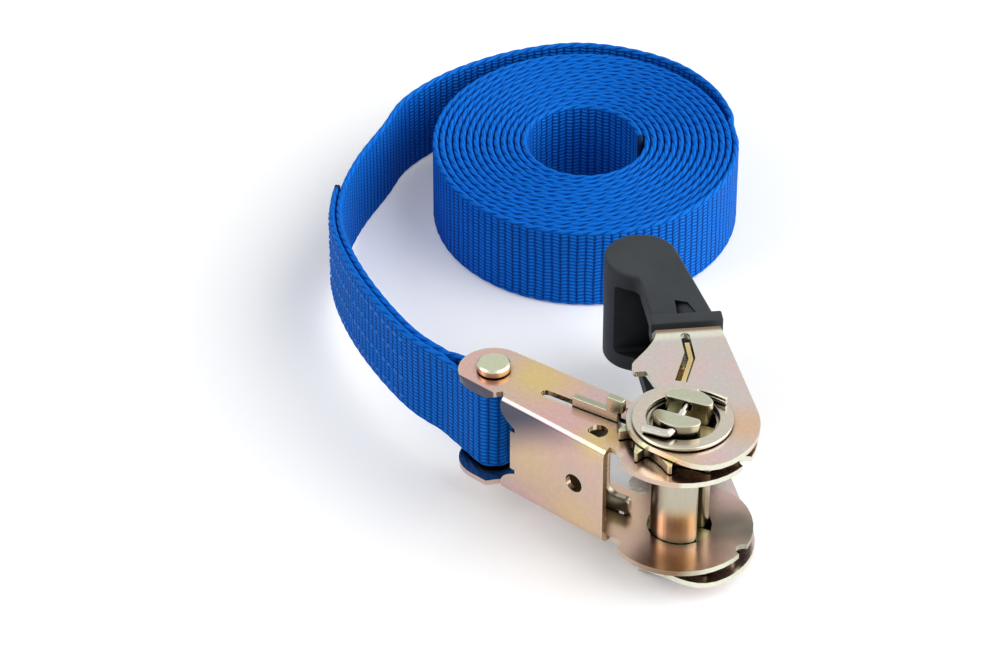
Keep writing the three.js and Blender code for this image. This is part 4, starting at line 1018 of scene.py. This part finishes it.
# %% Grip collar, window, slots and recesses
COLLAR = [(44.5, -17.4), (48.5, -17.4), (48.5, 1.5), (44.5, 1.5)]
COLLAR_HALF, COLLAR_ROUND = 17.0, 0.5
WINDOW = [(43.0, -10.6), (68.2, -7.4), (70.7, -4.9), (70.7, 14.0), (43.0, 14.0)]
WINDOW_HALF, WINDOW_ROUND = 10.9, 1.2
ARMS = [(43.2, -13.7), (66.3, -10.7), (66.3, -0.5), (43.2, -0.5)]
ARM_GAP = 0.3
ARM_LOW, ARM_TOP = 12.6 - ARM_GAP, 14.2 + ARM_GAP
BACK = [(43.2, -13.7), (66.3, -10.7), (66.3, -8.5), (43.2, -11.5)]
MOUTH = [(43.5, -13.7), (45.9, -13.7), (45.9, 14.0), (43.5, 14.0)]
MOUTH_HALF = 4.8
WEDGE = [(-0.5, -5.2), (5.2, -3.4), (6.6, -0.2), (-0.5, 0.0)]
WEDGE_AT, WEDGE_TILT, WEDGE_DEEP, WEDGE_OUT = (49.2, -6.0), math.radians(-13), 1.3, 4.0
RUBBER_EDGE = 0.35 * MM
shape_with(grip, cutter(COLLAR, -COLLAR_HALF, COLLAR_HALF, on_handle, COLLAR_ROUND), "UNION")
for points, base, top, round_edges in (
    (WINDOW, -WINDOW_HALF, WINDOW_HALF, WINDOW_ROUND),
    (ARMS, ARM_LOW, ARM_TOP, 0.0), (ARMS, -ARM_TOP, -ARM_LOW, 0.0),
    (BACK, -ARM_TOP, ARM_TOP, 0.0), (MOUTH, -MOUTH_HALF, MOUTH_HALF, 0.0),
):
    shape_with(grip, cutter(points, base, top, on_handle, round_edges), "DIFFERENCE")
for face_way in (1, -1):
    tilt = Matrix.Rotation(face_way * WEDGE_TILT, 4, "X")
    on_cheek = Matrix.Translation((*WEDGE_AT, face_way * GRIP_HALF)) @ tilt
    base, top = sorted((-WEDGE_DEEP * face_way, WEDGE_OUT * face_way))
    shape_with(grip, cutter(WEDGE, base, top, on_handle @ on_cheek), "DIFFERENCE")
break_edges(grip, RUBBER_EDGE)
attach(grip, "handle")
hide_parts("handle_grip")
print("grip", len(grip.data.polygons), "faces")

# %% [markdown]
# ## Charcoal rubber
# The rubber is matt, with a fine moulded grain and a slightly cloudy tone. A bump on its own would
# look like plastic, so the grain also moves the roughness. In the hollows, found by ambient
# occlusion, painted shade makes the colour nearly black, and the rubber is quite rough there.

# %% Rubber finish
MOULD_SCALE, CLOUD_SCALE = 2600.0, 70.0
HOLLOW_NEAR, MOULD_DEEP = 0.014, 0.00008
HOLLOW_SHADE, COAL, ASH = rgb(0.002, 0.002, 0.003), rgb(0.034, 0.038, 0.042), rgb(0.044, 0.049, 0.054)
rubber = Finish("grip_charcoal", Specular_IOR_Level=0.15)
where = rubber.place()
grain = rubber.noise(where, MOULD_SCALE, 2.0)
cloud = rubber.noise(where, CLOUD_SCALE, 3.0)
# Painted shade: ambient occlusion darkens the colour to near black in the hollows
open_air = rubber.node(
    "ShaderNodeAmbientOcclusion", {"only_local": True, "samples": 8}, {"Distance": HOLLOW_NEAR}, "AO")
lit_share = open_air.ease(0.45, 0.97)
rubber.set("Base Color", rubber.colour(lit_share, HOLLOW_SHADE, rubber.colour(cloud.ease(0.3, 0.7), COAL, ASH)))
rubber.set("Roughness", 0.95 - 0.37 * lit_share + (grain - 0.5) * 0.25)
rubber.bump(grain + cloud * 0.5, MOULD_DEEP, 0.5)
grip.data.materials.clear()
grip.data.materials.append(rubber.material)
print("rubber grain", round(1 / MOULD_SCALE / MM, 1), "mm")

# %% [markdown]
# ## Floor and light
# The object lies on a white sheet under even studio light: a very wide sun from the right, behind
# and above, a panel at the front left for the ratchet's web, one at the right for the roll, and a
# bright room all round. Small lamps would each leave a hard shadow; these are broad, so theirs are
# faint. The floor is a little short of white, so that the soft shadow stays.

# %% Floor, key and room
SEEN_BY = ("Is Camera Ray", "Is Glossy Ray", "Is Transmission Ray")
FLOOR_HALF, FLOOR_DROP = 3.0, 0.0002
FLOOR_WHITE, FLOOR_GLOW = rgb(0.92, 0.92, 0.92), rgb(0.2, 0.2, 0.2)
PANEL_SIZE = 0.5
ROOM_LIGHT, ROOM_SEEN = 0.37, 1.0
bm = bmesh.new()
bmesh.ops.create_grid(bm, x_segments=1, y_segments=1, size=FLOOR_HALF)
bmesh.ops.translate(bm, vec=(0, 0, -FLOOR_DROP), verts=bm.verts)
floor = object_from(bm, "floor")
sheet = Finish("floor_white", Base_Color=FLOOR_WHITE, Roughness=0.9, Specular_IOR_Level=0.1)
views = [sheet.node("ShaderNodeLightPath", {}, {}, name) for name in SEEN_BY]
viewed = (views[0] + views[1] + views[2]).least(1.0)
sheet.set("Emission Color", sheet.colour(viewed, rgb(0, 0, 0), FLOOR_GLOW))
sheet.set("Emission Strength", 1.0)
floor.data.materials.append(sheet.material)


def lamp(name, kind, energy, way, at=None, away=0.0):
    """A lamp that shines along a way, so far away from the point that it shines at."""
    data = bpy.data.lights.new(name, kind)
    data.energy = energy
    made = bpy.data.objects.new(name, data)
    made.rotation_euler = Vector(way).to_track_quat("-Z", "Y").to_euler()
    if at:
        made.location = Vector(at) - away * Vector(way)
    scene.collection.objects.link(made)
    return data


key = lamp("key", "SUN", 2.7, way=(-0.74, -0.43, -0.54))
key.angle = math.radians(80)
panel = lamp("panel", "AREA", 2.2, way=(0.48, 0.6, -0.58), at=(-0.005, -0.035, 0.035), away=0.9)
panel.size = PANEL_SIZE
side = lamp("side", "AREA", 1.6, way=(-0.93, -0.30, -0.20), at=(-0.07, 0.07, 0.012), away=0.7)
side.size = PANEL_SIZE

world = bpy.data.worlds.new("room")
world.use_nodes = True
scene.world = world
room = world.node_tree
ray = room.nodes.new("ShaderNodeLightPath")
rays = [ray.outputs[name] for name in SEEN_BY]
seen = rays[0]
for other in rays[1:]:
    either = room.nodes.new("ShaderNodeMath")
    either.operation = "MAXIMUM"
    room.links.new(seen, either.inputs[0])
    room.links.new(other, either.inputs[1])
    seen = either.outputs[0]
strength = room.nodes.new("ShaderNodeMapRange")
strength.inputs["To Min"].default_value = ROOM_LIGHT
strength.inputs["To Max"].default_value = ROOM_SEEN
room.links.new(seen, strength.inputs["Value"])
room.links.new(strength.outputs[0], room.nodes["Background"].inputs["Strength"])
room.nodes["Background"].inputs["Color"].default_value = rgb(1, 1, 1)
scene.view_settings.view_transform = "Standard"
print("three broad lamps and a white room")
